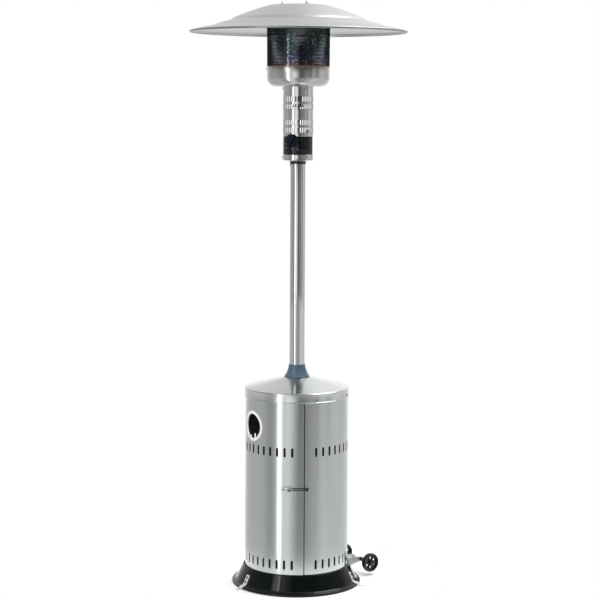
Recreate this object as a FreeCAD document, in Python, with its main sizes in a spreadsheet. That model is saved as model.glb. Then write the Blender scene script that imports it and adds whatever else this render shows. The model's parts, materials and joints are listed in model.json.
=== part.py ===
import FreeCAD
import Part
import Sketcher
import math
import os

# Patio heater: a pressed base with anchor brackets and a wheel kit, a round bottle housing with
# a hinged door and a conical lid, a post, and a gas burner head under a wide stepped reflector.
# Millimetres and degrees. +Z is up and the origin is on the heater's axis, on the floor.
# Bearings are counted from the front (-Y) towards the right (+X).

SIZES = {
    # Base pan: a pressed sheet with a raised bead, a sloping skirt and a rolled foot lip
    "base_floor_height": 66.0,
    "base_sheet": 1.5,
    "bead_height": 3.0,
    "bead_top_width": 2.0,
    "bead_side_width": 1.5,
    "bead_clearance": 1.8,
    "skirt_top_rise": 1.2,
    "skirt_run": 25.7,
    "skirt_foot_height": 14.5,
    "lip_height": 9.5,
    "lip_width": 12.2,
    "skirt_bend": 8.0,
    "skirt_bend_radius": 12.8,
    # Anchor brackets, which hold the base to the ground
    "anchor_first_bearing": -57.0,
    "anchor_spread": 129.0,
    "anchor_width": 20.0,
    "anchor_sheet": 2.0,
    "anchor_top_height": 48.0,
    "anchor_foot_length": 26.0,
    "anchor_hole_radius": 3.3,
    "anchor_hole_inset": 6.5,
    "anchor_screw_upper": 39.0,
    "anchor_screw_lower": 23.0,
    # Wheel kit behind the base
    "wheel_bearing": 123.5,
    "wheel_axle_reach": 286.0,
    "wheel_axle_height": 47.0,
    "wheel_radius": 35.5,
    "wheel_width": 19.0,
    "wheel_tread_depth": 8.5,
    "wheel_web_width": 8.0,
    "wheel_hub_radius": 9.5,
    "wheel_track": 176.0,
    "wheel_hole_radius": 5.2,
    "wheel_hole_circle": 17.5,
    "wheel_edge_radius": 3.8,
    "axle_radius": 5.0,
    "axle_cap_radius": 8.0,
    "axle_cap_length": 5.0,
    "axle_cap_floor": 1.0,
    "sleeve_wall": 2.5,
    "bracket_half_width": 26.0,
    "bracket_sheet": 2.5,
    "bracket_top_height": 60.0,
    "bracket_bottom_height": 28.0,
    "bracket_eye_radius": 9.0,
    # Bottle housing: a fixed half and a door half
    "housing_radius": 195.5,
    "housing_sheet": 0.8,
    "housing_hem": 6.0,
    "seam_bearing": 8.6,
    "seam_gap": 3.4,
    "vent_width": 7.6,
    "vent_height": 34.0,
    "vent_pitch": 8.52,
    "vent_lower_height": 105.6,
    "vent_upper_height": 523.6,
    "door_lift": 3.8,
    "door_top_gap": 1.2,
    "joggle_drop": 3.0,
    "joggle_height": 2.6,
    "housing_top_drop": 3.0,
    # Hand hole in the door with its edge trim
    "hand_hole_bearing": -57.5,
    "hand_hole_height": 608.0,
    "hand_hole_radius": 50.0,
    "trim_inner_radius": 45.5,
    "trim_outer_radius": 56.5,
    "trim_proud": 3.0,
    "trim_slot_clearance": 0.15,
    # Door hinges
    "hinge_lower_height": 180.0,
    "hinge_upper_height": 600.0,
    "hinge_length": 60.0,
    "hinge_leaf_width": 22.0,
    "hinge_leaf_sheet": 1.5,
    "hinge_knuckle_radius": 3.6,
    "hinge_pin_radius": 2.0,
    "hinge_leaf_gap": 0.4,
    "hinge_knuckle_rise": 0.3,
    "hinge_bridge_sheet": 1.05,
    "hinge_bridge_width": 5.4,
    "hinge_cap_height": 1.5,
    # Draw latch
    "latch_height": 388.2,
    "latch_bearing": -7.0,
    "latch_pivot_rise": 10.0,
    "latch_pin_radius": 1.5,
    "latch_plate_sheet": 1.5,
    "latch_plate_half_width": 9.0,
    "latch_ear_sheet": 1.5,
    "latch_ear_inner": 7.6,
    "latch_ear_start": 1.0,
    "latch_ear_foot": 5.0,
    "latch_ear_eye": 4.0,
    "latch_rest_rise": 4.2,
    "latch_rest_half_width": 4.5,
    "latch_rest_half_height": 2.4,
    "latch_cheek_sheet": 1.2,
    "rivet_head_radius": 2.7,
    "rivet_head_height": 1.0,
    "latch_throw": 8.0,
    "latch_wire_radius": 1.2,
    "latch_wire_spacing": 6.4,
    "latch_hook_bearing": 11.4,
    "latch_hook_size": 10.4,
    "latch_hook_lift": 1.8,
    "latch_hook_top": 9.0,
    "latch_hook_chamfer": 1.0,
    "latch_hook_mouth": 2.2,
    "latch_hook_lip": 2.0,
    "latch_hook_slack": 1.0,
    "latch_wire_rise": 5.0,
    "bail_pivot_drop": 1.0,
    "latch_lever_reach": 36.0,
    "lever_plate_rise": 5.6,
    "lever_plate_start": 3.0,
    "lever_tip_length": 8.4,
    "lever_loop_end": 13.5,
    "lever_loop_wall": 3.0,
    "lever_cheek_root": 5.0,
    "lever_cheek_tail": 8.0,
    "lever_eye_margin": 2.6,
    "lever_bail_margin": 3.0,
    "keeper_sheet": 1.0,
    "keeper_margin": 2.0,
    "keeper_fin_offset": 0.2,
    "keeper_fin_sheet": 1.2,
    "keeper_fin_rise": 3.4,
    # Lid over the housing
    "lid_sheet": 0.8,
    "lid_corner_radius": 200.0,
    "lid_flange_bottom": 706.6,
    "lid_corner_height": 743.0,
    "lid_apex_height": 779.0,
    "lid_apex_radius": 48.0,
    "lid_hole_clearance": 2.0,
    "lid_shoulder_width": 4.0,
    "lid_shoulder_drop": 1.5,
    "lid_shoulder_radius": 4.2,
    "lid_corner_fall": 3.6,
    "lid_bevel_fall": 9.0,
    "lid_wall_inset": 1.4,
    "lid_hem_height": 4.0,
    "lid_hem_proud": 1.2,
    "lid_first_screw_bearing": 20.6,
    "lid_screw_pitch": 52.0,
    "lid_screw_height": 719.0,
    "lid_screw_length": 9.0,
    # Legs and post mount
    "leg_spread": 84.0,
    "leg_inner_radius": 164.0,
    "leg_sheet": 4.0,
    "leg_width": 30.0,
    "leg_foot": 22.0,
    "leg_foot_sheet": 3.0,
    "mount_plate_height": 700.0,
    "mount_plate_sheet": 2.5,
    "mount_plate_radius": 188.0,
    "socket_flange_radius": 62.0,
    "socket_flange_sheet": 4.0,
    "socket_top_height": 790.0,
    "socket_bolt_circle": 47.5,
    # Post and its collar
    "post_radius": 29.0,
    "post_wall": 1.5,
    "post_top_height": 1598.0,
    "post_screw_drop": 11.4,
    "post_bolt_rise": 34.0,
    "post_screw_spare": 3.0,
    "top_ring_drop": 8.0,
    "top_ring_proud": 2.0,
    "spigot_clearance": 0.3,
    "spigot_wall": 2.0,
    "collar_height": 48.0,
    "collar_foot_radius": 48.5,
    "collar_wall": 2.0,
    "collar_foot_edge": 1.0,
    "collar_foot_bend": 62.0,
    "collar_flare": 0.8,
    "collar_flare_drop": 13.0,
    "collar_neck_bend": 90.0,
    "collar_edge_radius": 1.0,
    # Burner column and controls
    "column_radius": 58.2,
    "column_sheet": 0.8,
    "column_foot_height": 1600.0,
    "column_bottom_height": 1607.0,
    "column_top_height": 1885.5,
    "column_neck_depth": 2.3,
    "column_step": 1.5,
    "column_hem_proud": 1.0,
    "column_hem_height": 2.0,
    "column_screw_rise": 10.0,
    "column_screw_drop": 5.5,
    "column_vent_height": 21.0,
    "column_vent_width": 4.4,
    "column_vent_drop_1": 45.5,
    "column_vent_drop_2": 75.5,
    "column_vent_drop_3": 135.5,
    "column_vent_drop_4": 164.5,
    "spigot_depth": 45.0,
    "foot_rim_height": 20.0,
    "panel_bottom_height": 1629.0,
    "panel_top_height": 1696.0,
    "panel_sheet": 1.2,
    "panel_start_bearing": -105.0,
    "panel_end_bearing": 75.0,
    "knob_bearing": -23.0,
    "knob_height": 1681.0,
    "knob_radius": 25.6,
    "knob_travel": 3.0,
    "knob_gap": 1.2,
    "knob_skirt": 12.0,
    "knob_foot_inset": 1.0,
    "knob_foot_height": 1.2,
    "knob_taper": 0.8,
    "knob_edge_height": 1.5,
    "knob_edge_inset": 2.5,
    "knob_grip": 8.0,
    "knob_grip_sink": 1.0,
    "knob_grip_inset": 2.6,
    "knob_grip_half_width": 4.6,
    "knob_grip_chamfer": 0.8,
    "knob_grip_lean": -31.0,
    "spindle_radius": 4.0,
    "spindle_reach": 27.0,
    "spindle_end_gap": 1.0,
    "spindle_room": 2.0,
    "spindle_hole_clearance": 2.0,
    "valve_radius": 12.0,
    "valve_reach": 44.8,
    "valve_outlet_radius": 6.0,
    "valve_inlet_radius": 7.0,
    "valve_port_length": 6.0,
    "valve_bracket_reach": 30.0,
    "valve_bracket_foot": 22.0,
    "valve_bracket_sheet": 2.0,
    "valve_bracket_width": 20.0,
    "tilt_bearing": 120.0,
    "tilt_rise": 8.0,
    "tilt_shelf_length": 29.0,
    "tilt_shelf_width": 16.0,
    "tilt_shelf_sheet": 1.5,
    "tilt_case_radius": 7.0,
    "tilt_case_height": 16.0,
    "running_clearance": 0.05,
    # Gas path
    "gas_pipe_radius": 4.0,
    "gas_pipe_wall": 1.0,
    "gas_pipe_offset": 14.0,
    "inlet_radius": 6.58,
    "inlet_length": 16.0,
    "inlet_hex_height": 10.0,
    "inlet_hex_radius": 11.0,
    "inlet_bore_radius": 2.8,
    "feed_radius": 3.0,
    "bridge_width": 14.0,
    "bridge_sheet": 2.0,
    "inner_end_gap": 1.0,
    "injector_height": 1800.0,
    "injector_holder_radius": 8.0,
    "injector_holder_height": 8.0,
    "injector_drill_radius": 1.5,
    "injector_foot_radius": 6.0,
    "injector_tip_radius": 3.0,
    "injector_length": 12.0,
    "injector_bore_radius": 1.0,
    "mixing_tube_radius": 16.0,
    "mixing_tube_wall": 1.2,
    "mixing_tube_lift": 9.0,
    "mixing_tube_drop": 22.0,
    "mixing_flange_radius": 28.0,
    "mixing_mouth_flare": 4.0,
    "mixing_mouth_length": 16.0,
    # Burner bowl and emitter
    "bowl_radius": 120.5,
    "bowl_sheet": 0.8,
    "bowl_bottom_height": 1887.0,
    "bowl_corner": 35.0,
    "bowl_screw_drop": 11.0,
    "bowl_screw_length": 7.0,
    "bowl_ring_sheet": 1.5,
    "bowl_ring_height": 18.0,
    "bowl_ring_width": 14.0,
    "bowl_ring_bolt_inset": 8.0,
    "emitter_bottom_height": 1964.0,
    "emitter_height": 164.0,
    "emitter_bottom_radius": 120.0,
    "emitter_top_radius": 121.5,
    "emitter_sheet": 0.8,
    "emitter_foot_width": 3.0,
    "emitter_bead_proud": 0.8,
    "emitter_bead_height": 3.0,
    "emitter_bead_fall": 1.0,
    "top_plate_sheet": 1.2,
    "burner_plate_drop": 20.0,
    "burner_plate_sheet": 1.2,
    "burner_plate_rim": 18.0,
    "burner_cap_radius": 45.0,
    "burner_cap_height": 50.0,
    "burner_cap_crown": 4.0,
    "burner_cap_sheet": 1.0,
    "pilot_bearing": 60.0,
    "pilot_gap": 14.0,
    "pilot_spacing": 9.0,
    "pilot_height": 40.0,
    "pilot_radius": 4.5,
    "igniter_height": 46.0,
    "igniter_radius": 2.5,
    "probe_height": 44.0,
    "probe_radius": 3.0,
    "electrode_tip": 12.0,
    # Reflector
    "reflector_sheet": 1.0,
    "reflector_radius": 418.0,
    "reflector_rise": 72.0,
    "reflector_depth": 102.5,
    "rim_bead_radius": 4.0,
    "stud_circle": 64.0,
    "stud_radius": 3.0,
    "stud_first_bearing": 27.0,
    "stud_spare": 14.0,
    "stud_head_radius": 5.4,
    "stud_head_height": 3.0,
    "stud_nut_radius": 6.0,
    "stud_nut_height": 6.0,
    "spacer_radius": 6.0,
    # Fasteners and general fits
    "screw_radius": 2.4,
    "screw_head_radius": 4.6,
    "screw_head_height": 2.6,
    "sheet_screw_length": 6.0,
    "bolt_radius": 3.0,
    "bolt_head_radius": 5.6,
    "bolt_head_height": 4.0,
    "bolt_spare": 1.5,
    "hole_clearance": 0.3,
    "seat_gap": 0.2,
    # How far a cutter for a hole reaches to each side of the sheet
    "drill_reach": 10.0,
}


# How many features stand side by side, and shares that set a shape's proportions

VENT_COLUMNS = 19
COLUMN_VENTS = 40
WHEEL_HOLES = 6
LID_SCREWS = 3
STUDS = 3
CROWN_SHARE = 0.7
KNUCKLE_ENDS = ((0, 0.25), (0.75, 1))
KNUCKLE_MIDDLE = ((0.25, 0.75),)
REFLECTOR_SECTION = (
    (0.2560, 0), (0.2751, 0.005), (0.3517, 0.110), (0.4450, 0.246), (0.5359, 0.380),
    (0.5813, 0.452), (0.6077, 0.510), (0.6268, 0.578), (0.7177, 0.673), (0.8110, 0.810),
    (0.9019, 0.868))


class Size:
    """A value together with the spreadsheet formula that keeps it up to date."""

    def __init__(self, value, formula=None):
        self.value = float(value)
        self.formula = formula if formula else f"{float(value):.6f}"

    def __add__(self, other):
        other = as_size(other)
        return Size(self.value + other.value, f"({self.formula} + {other.formula})")

    def __radd__(self, other):
        return as_size(other) + self

    def __sub__(self, other):
        other = as_size(other)
        return Size(self.value - other.value, f"({self.formula} - {other.formula})")

    def __rsub__(self, other):
        return as_size(other) - self

    def __mul__(self, other):
        other = as_size(other)
        return Size(self.value * other.value, f"({self.formula} * {other.formula})")

    def __rmul__(self, other):
        return as_size(other) * self

    def __truediv__(self, other):
        other = as_size(other)
        return Size(self.value / other.value, f"({self.formula} / {other.formula})")

    def __neg__(self):
        return Size(0) - self


def as_size(number):
    """A plain number or a Size, as a Size."""
    return number if isinstance(number, Size) else Size(number)


def cos_of(angle):
    """Cosine of an angle in degrees."""
    angle = as_size(angle)
    return Size(math.cos(math.radians(angle.value)), f"cos({angle.formula})")


def sin_of(angle):
    """Sine of an angle in degrees."""
    angle = as_size(angle)
    return Size(math.sin(math.radians(angle.value)), f"sin({angle.formula})")


def root_of(area):
    """Square root."""
    return Size(math.sqrt(area.value), f"sqrt({area.formula})")


class SizeTable:
    """The driving sizes: attributes are Size objects tied to the document's spreadsheet."""

    def __init__(self, document, values):
        sheet = document.addObject("Spreadsheet::Sheet", "Sizes")
        for row, (name, value) in enumerate(values.items(), start=1):
            sheet.set(f"A{row}", name)
            sheet.set(f"B{row}", str(value))
            sheet.setAlias(f"B{row}", name)
            setattr(self, name, Size(value, f"Sizes.{name}"))
        document.recompute()


doc = FreeCAD.newDocument("patio_heater")
s = SizeTable(doc, SIZES)
nodes = []
frame_bolts = []
head_screws = []


def bind(item, prop, size):
    """Ties a property of an object to a size's formula."""
    item.setExpression(prop, as_size(size).formula)


def publish(item, label):
    """Names a finished sub-part, which is written to a file of that name."""
    item.Label = label
    nodes.append(item)
    return item


def place(item, x=0, y=0, z=0, turn=None, axis=FreeCAD.Vector(0, 0, 1)):
    """Puts an object at a point, turned by an angle about an axis."""
    item.Placement = FreeCAD.Placement(FreeCAD.Vector(0, 0, 0), FreeCAD.Rotation(axis, 1))
    for name, size in (("x", x), ("y", y), ("z", z)):
        bind(item, f"Placement.Base.{name}", size)
    bind(item, "Placement.Rotation.Angle", turn if turn is not None else 0)
    return item


def origin_part(body, role):
    """One of a body's own origin planes or axes."""
    return [part for part in body.Origin.OriginFeatures if part.Role == role][0]


def polar(bearing):
    """The mathematical angle about +Z, from +X, of a bearing counted from the front."""
    return as_size(bearing) - 90


# Sketches and bodies


def draw(body, name, outlines, role, offset=None, lean=None):
    """A sketch of closed outlines on one of the body's origin planes.

    An outline is a list of (x, y) or (x, y, bend) points, or a ("circle", x, y, radius) entry.
    The edge after a point with a bend is an arc of that radius, turning left if it is positive.
    """
    sketch = body.newObject("Sketcher::SketchObject", name)
    sketch.AttachmentSupport = [(origin_part(body, role), "")]
    sketch.MapMode = "FlatFace"
    if offset is not None:
        bind(sketch, "AttachmentOffset.Base.z", offset)
    if lean is not None:
        sketch.AttachmentOffset = FreeCAD.Placement(
            FreeCAD.Vector(0, 0, 0), FreeCAD.Rotation(FreeCAD.Vector(0, 1, 0), 1))
        bind(sketch, "AttachmentOffset.Rotation.Angle", lean)
    for outline in outlines:
        if outline[0] == "circle":
            draw_circle(sketch, outline)
        else:
            draw_outline(sketch, outline)
    return sketch


def tie(sketch, kind, geometry, point, size):
    """Fixes one coordinate of a sketch point to a size."""
    index = sketch.addConstraint(
        Sketcher.Constraint(kind, -1, 1, geometry, point, as_size(size).value))
    sketch.setExpression(f"Constraints[{index}]", as_size(size).formula)


def draw_circle(sketch, outline):
    """A full circle, tied to its centre and radius."""
    _, x, y, radius = outline
    centre = FreeCAD.Vector(as_size(x).value, as_size(y).value, 0)
    geometry = sketch.addGeometry(
        Part.Circle(centre, FreeCAD.Vector(0, 0, 1), as_size(radius).value))
    tie(sketch, "DistanceX", geometry, 3, x)
    tie(sketch, "DistanceY", geometry, 3, y)
    index = sketch.addConstraint(Sketcher.Constraint("Radius", geometry, as_size(radius).value))
    sketch.setExpression(f"Constraints[{index}]", as_size(radius).formula)


def arc_edge(start, end, radius):
    """A minor arc between two points; a positive radius turns left."""
    chord = end.sub(start)
    middle = start.add(end).multiply(0.5)
    rise = math.sqrt(max(radius * radius - chord.Length ** 2 / 4, 0))
    left = FreeCAD.Vector(-chord.y, chord.x, 0).normalize()
    centre = middle.add(left.multiply(rise if radius > 0 else -rise))
    first, last = (start, end) if radius > 0 else (end, start)
    angles = [math.atan2(point.y - centre.y, point.x - centre.x) for point in (first, last)]
    circle = Part.Circle(centre, FreeCAD.Vector(0, 0, 1), abs(radius))
    return Part.ArcOfCircle(circle, angles[0], angles[1])


def draw_outline(sketch, outline):
    """A closed chain of lines and arcs, with each corner tied to its formulas."""
    count = len(outline)
    points = [FreeCAD.Vector(as_size(p[0]).value, as_size(p[1]).value, 0) for p in outline]
    ends = []
    for index, corner in enumerate(outline):
        start = points[index]
        end = points[(index + 1) % count]
        if len(corner) == 2:
            geometry = sketch.addGeometry(Part.LineSegment(start, end))
            ends.append((geometry, 1, 2))
        else:
            bend = as_size(corner[2])
            geometry = sketch.addGeometry(arc_edge(start, end, bend.value))
            ends.append((geometry, 1, 2) if bend.value > 0 else (geometry, 2, 1))
            radius = bend if bend.value > 0 else -bend
            number = sketch.addConstraint(Sketcher.Constraint("Radius", geometry, radius.value))
            sketch.setExpression(f"Constraints[{number}]", radius.formula)
    for index in range(count):
        this, following = ends[index], ends[(index + 1) % count]
        sketch.addConstraint(
            Sketcher.Constraint("Coincident", this[0], this[2], following[0], following[1]))
    for index, corner in enumerate(outline):
        tie(sketch, "DistanceX", ends[index][0], ends[index][1], corner[0])
        tie(sketch, "DistanceY", ends[index][0], ends[index][1], corner[1])


def slot_outline(x, y, width, height):
    """An upright slot with round ends."""
    half = width / 2
    straight = height / 2 - half
    return [
        (x - half, y + straight),
        (x - half, y - straight, half),
        (x, y - straight - half, half),
        (x + half, y - straight),
        (x + half, y + straight, half),
        (x, y + straight + half, half),
    ]


def box_outline(x_low, y_low, x_high, y_high):
    """A rectangle between two corners."""
    return [(x_low, y_low), (x_high, y_low), (x_high, y_high), (x_low, y_high)]


def new_body(name):
    """An empty body."""
    return doc.addObject("PartDesign::Body", name)


def revolved(name, outlines, sweep=None, lean=None):
    """A body turned about +Z from outlines of (radius, height) points."""
    body = new_body(name)
    sketch = draw(body, f"{name}_outline", outlines, "XZ_Plane", lean=lean)
    turn = body.newObject("PartDesign::Revolution", f"{name}_turned")
    turn.Profile = sketch
    turn.ReferenceAxis = (sketch, ["V_Axis"])
    turn.Angle = 360
    if sweep is not None:
        bind(turn, "Angle", sweep)
    return body


def raised(name, outlines, height, offset=None):
    """A body padded upwards from outlines in plan."""
    body = new_body(name)
    sketch = draw(body, f"{name}_outline", outlines, "XY_Plane", offset=offset)
    pad = body.newObject("PartDesign::Pad", f"{name}_pad")
    pad.Profile = sketch
    bind(pad, "Length", height)
    return body


def strip(name, outlines, width):
    """A body padded equally to both sides of the XZ plane from a side view."""
    body = new_body(name)
    sketch = draw(body, f"{name}_outline", outlines, "XZ_Plane")
    pad = body.newObject("PartDesign::Pad", f"{name}_pad")
    pad.Profile = sketch
    pad.Midplane = True
    bind(pad, "Length", width)
    return body


def slot_ring(name, outlines, inner, depth, count, pitch):
    """Cutters for a ring of wall openings: one padded column of outlines, repeated round +Z."""
    body = new_body(f"{name}_column")
    sketch = draw(body, f"{name}_outline", outlines, "YZ_Plane", offset=inner)
    pad = body.newObject("PartDesign::Pad", f"{name}_pad")
    pad.Profile = sketch
    bind(pad, "Length", depth)
    turned = [place(group(f"{name}_{index}", [body]), turn=pitch * index)
              for index in range(count)]
    return group(f"{name}_ring", turned)


def cut_downwards(body, name, outlines, top):
    """Cuts outlines in plan down through the whole body below a height."""
    sketch = draw(body, f"{name}_outline", outlines, "XY_Plane", offset=top)
    pocket = body.newObject("PartDesign::Pocket", name)
    pocket.Profile = sketch
    pocket.Type = 1
    return pocket


def repeat_round(body, feature, count, sweep):
    """Repeats a feature round the body's Z axis; the last copy is one sweep from the first."""
    pattern = body.newObject("PartDesign::PolarPattern", f"{feature.Name}_ring")
    pattern.Originals = [feature]
    pattern.Axis = (origin_part(body, "Z_Axis"), [""])
    pattern.Angle = 360
    bind(pattern, "Angle", sweep)
    bind(pattern, "Occurrences", count)
    body.Tip = pattern
    return pattern


# Primitives and booleans


def cylinder(name, radius, height, sweep=None):
    """A cylinder standing on the origin."""
    item = doc.addObject("Part::Cylinder", name)
    bind(item, "Radius", radius)
    bind(item, "Height", height)
    if sweep is not None:
        bind(item, "Angle", sweep)
    return item


def cone(name, lower, upper, height):
    """A cone frustum standing on the origin."""
    item = doc.addObject("Part::Cone", name)
    bind(item, "Radius1", lower)
    bind(item, "Radius2", upper)
    bind(item, "Height", height)
    return item


def block(name, corner, spans):
    """A box from its low corner and its spans along X, Y and Z."""
    item = doc.addObject("Part::Box", name)
    for prop, size in zip(("Length", "Width", "Height"), spans):
        bind(item, prop, size)
    return place(item, *corner)


def fuse(name, parts):
    """Several overlapping solids as one."""
    item = doc.addObject("Part::MultiFuse", name)
    item.Shapes = parts
    return item


def cut(name, base, tools):
    """A solid with tools cut away."""
    tool = tools[0] if len(tools) == 1 else group(f"{name}_tools", tools)
    item = doc.addObject("Part::Cut", name)
    item.Base = base
    item.Tool = tool
    return item


def common(name, base, tool):
    """What two solids share."""
    item = doc.addObject("Part::Common", name)
    item.Base = base
    item.Tool = tool
    return item


def group(name, parts):
    """Separate solids kept together in one sub-part."""
    item = doc.addObject("Part::Compound", name)
    item.Links = parts
    return item


def outward(item, bearing, reach, height):
    """Lays an object's own +Z along a bearing, at a distance from the axis and a height."""
    angle = polar(bearing)
    item.Placement = FreeCAD.Placement(
        FreeCAD.Vector(reach.value * cos_of(angle).value, reach.value * sin_of(angle).value,
                       as_size(height).value),
        FreeCAD.Rotation(FreeCAD.Vector(0, 0, 1), angle.value)
        * FreeCAD.Rotation(FreeCAD.Vector(0, 1, 0), 90))
    bind(item, "Placement.Base.x", reach * cos_of(angle))
    bind(item, "Placement.Base.y", reach * sin_of(angle))
    bind(item, "Placement.Base.z", height)
    return item


def bearing_turn(item, bearing):
    """Turns an object that was made on the +X side to a bearing."""
    return place(item, turn=polar(bearing))


def screw(name, length, shank=None, head=None, head_height=None, nut=None):
    """A screw along +Z whose head sits on the plane Z = 0, with an optional nut on its shank.

    nut is the distance from the head's seat to the nut's face.
    """
    shank = shank or s.screw_radius
    head = head or s.screw_head_radius
    head_height = head_height or s.screw_head_height
    crown = head_height / 2
    parts = [
        place(cylinder(f"{name}_shank", shank, length + head_height / 2), z=-length),
        cylinder(f"{name}_rim", head, crown),
        place(cone(f"{name}_crown", head, head * CROWN_SHARE, crown), z=crown),
    ]
    if nut is not None:
        parts.append(place(cylinder(f"{name}_nut", head, head_height), z=-nut - head_height))
    return fuse(name, parts)


def radial_hole(name, bearing, height, inner, outer, radius):
    """A hole cutter along a bearing, from an inner to an outer reach."""
    return outward(cylinder(name, radius, outer - inner), bearing, inner, height)


def wall_hole(name, bearing, height, wall, radius):
    """A cutter for a hole through an upright wall at a bearing."""
    return radial_hole(name, bearing, height, wall - s.drill_reach, wall + s.drill_reach, radius)


def upright(item, bearing, reach, height):
    """Puts an object at a bearing, reach and height without turning it."""
    angle = polar(bearing)
    return place(item, reach * cos_of(angle), reach * sin_of(angle), height)


def floor_hole(name, bearing, reach, height, radius):
    """A cutter for a hole down through a level sheet."""
    return upright(cylinder(name, radius, s.drill_reach * 2), bearing, reach,
                   height - s.drill_reach)


def sagitta(half_width, radius):
    """How far a circle falls away from its tangent over a half width."""
    return half_width * half_width / radius / 2


# Levels and radii that several pieces share

housing_inner = s.housing_radius - s.housing_sheet
bead_inner = s.housing_radius + s.bead_clearance
skirt_top = bead_inner + s.bead_side_width * 2 + s.bead_top_width
skirt_foot = skirt_top + s.skirt_run
lip_inner = skirt_foot + s.skirt_bend
lip_outer = lip_inner + s.lip_width - s.skirt_bend
base_radius = lip_outer + s.lip_height / 2
skirt_top_height = s.base_floor_height + s.skirt_top_rise
skirt_fall = skirt_top_height - s.skirt_foot_height
skirt_slope = s.skirt_run / skirt_fall
skirt_length = root_of(s.skirt_run * s.skirt_run + skirt_fall * skirt_fall)
rear_seam = s.seam_bearing + 180
door_bearing = s.seam_bearing - 90
post_inner = s.post_radius - s.post_wall
spigot_radius = post_inner - s.spigot_clearance
spigot_inner = spigot_radius - s.spigot_wall
post_foot_height = s.mount_plate_height + s.mount_plate_sheet + s.socket_flange_sheet
column_inner = s.column_radius - s.column_sheet
neck_radius = s.column_radius - s.column_neck_depth
half_seam = Size(180 / math.pi) * s.seam_gap / 2 / s.housing_radius
leg_bearings = [door_bearing + s.leg_spread, door_bearing - s.leg_spread, door_bearing + 180]
anchor_bearings = [
    s.anchor_first_bearing,
    s.anchor_first_bearing + s.anchor_spread,
    s.anchor_first_bearing - s.anchor_spread,
]
emitter_top = s.emitter_bottom_height + s.emitter_height
reflector_top = emitter_top + s.reflector_rise
reflector_rim = reflector_top - s.reflector_depth
three_bearings = [Size(-90), Size(30), Size(150)]


def skirt_radius_at(height):
    """The skirt's outer radius at a height."""
    return skirt_top + skirt_slope * (skirt_top_height - height)


def off_skirt(height, lift):
    """Radius and height of a point lifted square off the skirt at a height."""
    lift = as_size(lift)
    return (skirt_radius_at(height) + lift * skirt_fall / skirt_length,
            as_size(height) + lift * s.skirt_run / skirt_length)


# Base


def make_base_pan():
    """The pressed base: floor, bead, sloping skirt and rolled foot lip."""
    sheet = s.base_sheet
    floor = s.base_floor_height
    roll = s.lip_height / 2
    bead_low = bead_inner + s.bead_side_width
    bead_high = bead_low + s.bead_top_width
    outline = [
        (0, floor),
        (bead_inner, floor),
        (bead_low, floor + s.bead_height),
        (bead_high, floor + s.bead_height),
        (skirt_top, skirt_top_height),
        (skirt_foot, s.skirt_foot_height, s.skirt_bend_radius),
        (lip_inner, s.lip_height),
        (lip_outer, s.lip_height, -roll),
        (base_radius, roll, -roll),
        (lip_outer, 0),
        (lip_outer - sheet, 0),
        (lip_outer - sheet, s.lip_height - sheet),
        (lip_inner - sheet / 2, s.lip_height - sheet),
        (skirt_foot - sheet, s.skirt_foot_height - sheet / 2),
        (skirt_top - sheet, skirt_top_height - sheet),
        (bead_high - sheet / 2, floor + s.bead_height - sheet),
        (bead_low + sheet / 2, floor + s.bead_height - sheet),
        (bead_inner + sheet / 2, floor - sheet),
        (0, floor - sheet),
    ]
    pan = revolved("base_pan_shell", [outline])
    bolt_hole = s.bolt_radius + s.hole_clearance
    holes = [floor_hole("base_leg_hole", bearing, leg_foot_centre(), floor, bolt_hole)
             for bearing in leg_bearings]
    for bearing in anchor_bearings:
        for level in (s.anchor_screw_upper, s.anchor_screw_lower):
            holes.append(skirt_hole("base_anchor_hole", bearing, level,
                                    s.screw_radius + s.hole_clearance))
    for side in (-1, 1):
        holes.append(skirt_hole("base_wheel_hole", s.wheel_bearing, wheel_bolt_height(),
                                bolt_hole, wheel_bolt_offset() * side))
    publish(cut("base_pan_cut", pan, holes), "base_pan")


def on_skirt(item, bearing, height, lift, across=None):
    """Lays an object's +Z square to the skirt at a bearing and height, lifted off the skirt.

    across moves it sideways, along the tangent.
    """
    across = as_size(across if across is not None else 0)
    tilt = math.degrees(math.atan2(s.skirt_run.value, skirt_fall.value))
    reach, level = off_skirt(height, lift)
    angle = polar(bearing)
    rotation = (FreeCAD.Rotation(FreeCAD.Vector(0, 0, 1), angle.value)
                * FreeCAD.Rotation(FreeCAD.Vector(0, 1, 0), 90 - tilt))
    item.Placement = FreeCAD.Placement(FreeCAD.Vector(0, 0, 0), rotation)
    bind(item, "Placement.Base.x", reach * cos_of(angle) - across * sin_of(angle))
    bind(item, "Placement.Base.y", reach * sin_of(angle) + across * cos_of(angle))
    bind(item, "Placement.Base.z", level)
    return item


def skirt_hole(name, bearing, height, radius, across=None):
    """A cutter for a hole square through the skirt and what lies on it."""
    return on_skirt(cylinder(name, radius, s.drill_reach * 2), bearing, height,
                    -s.drill_reach, across)


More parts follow.
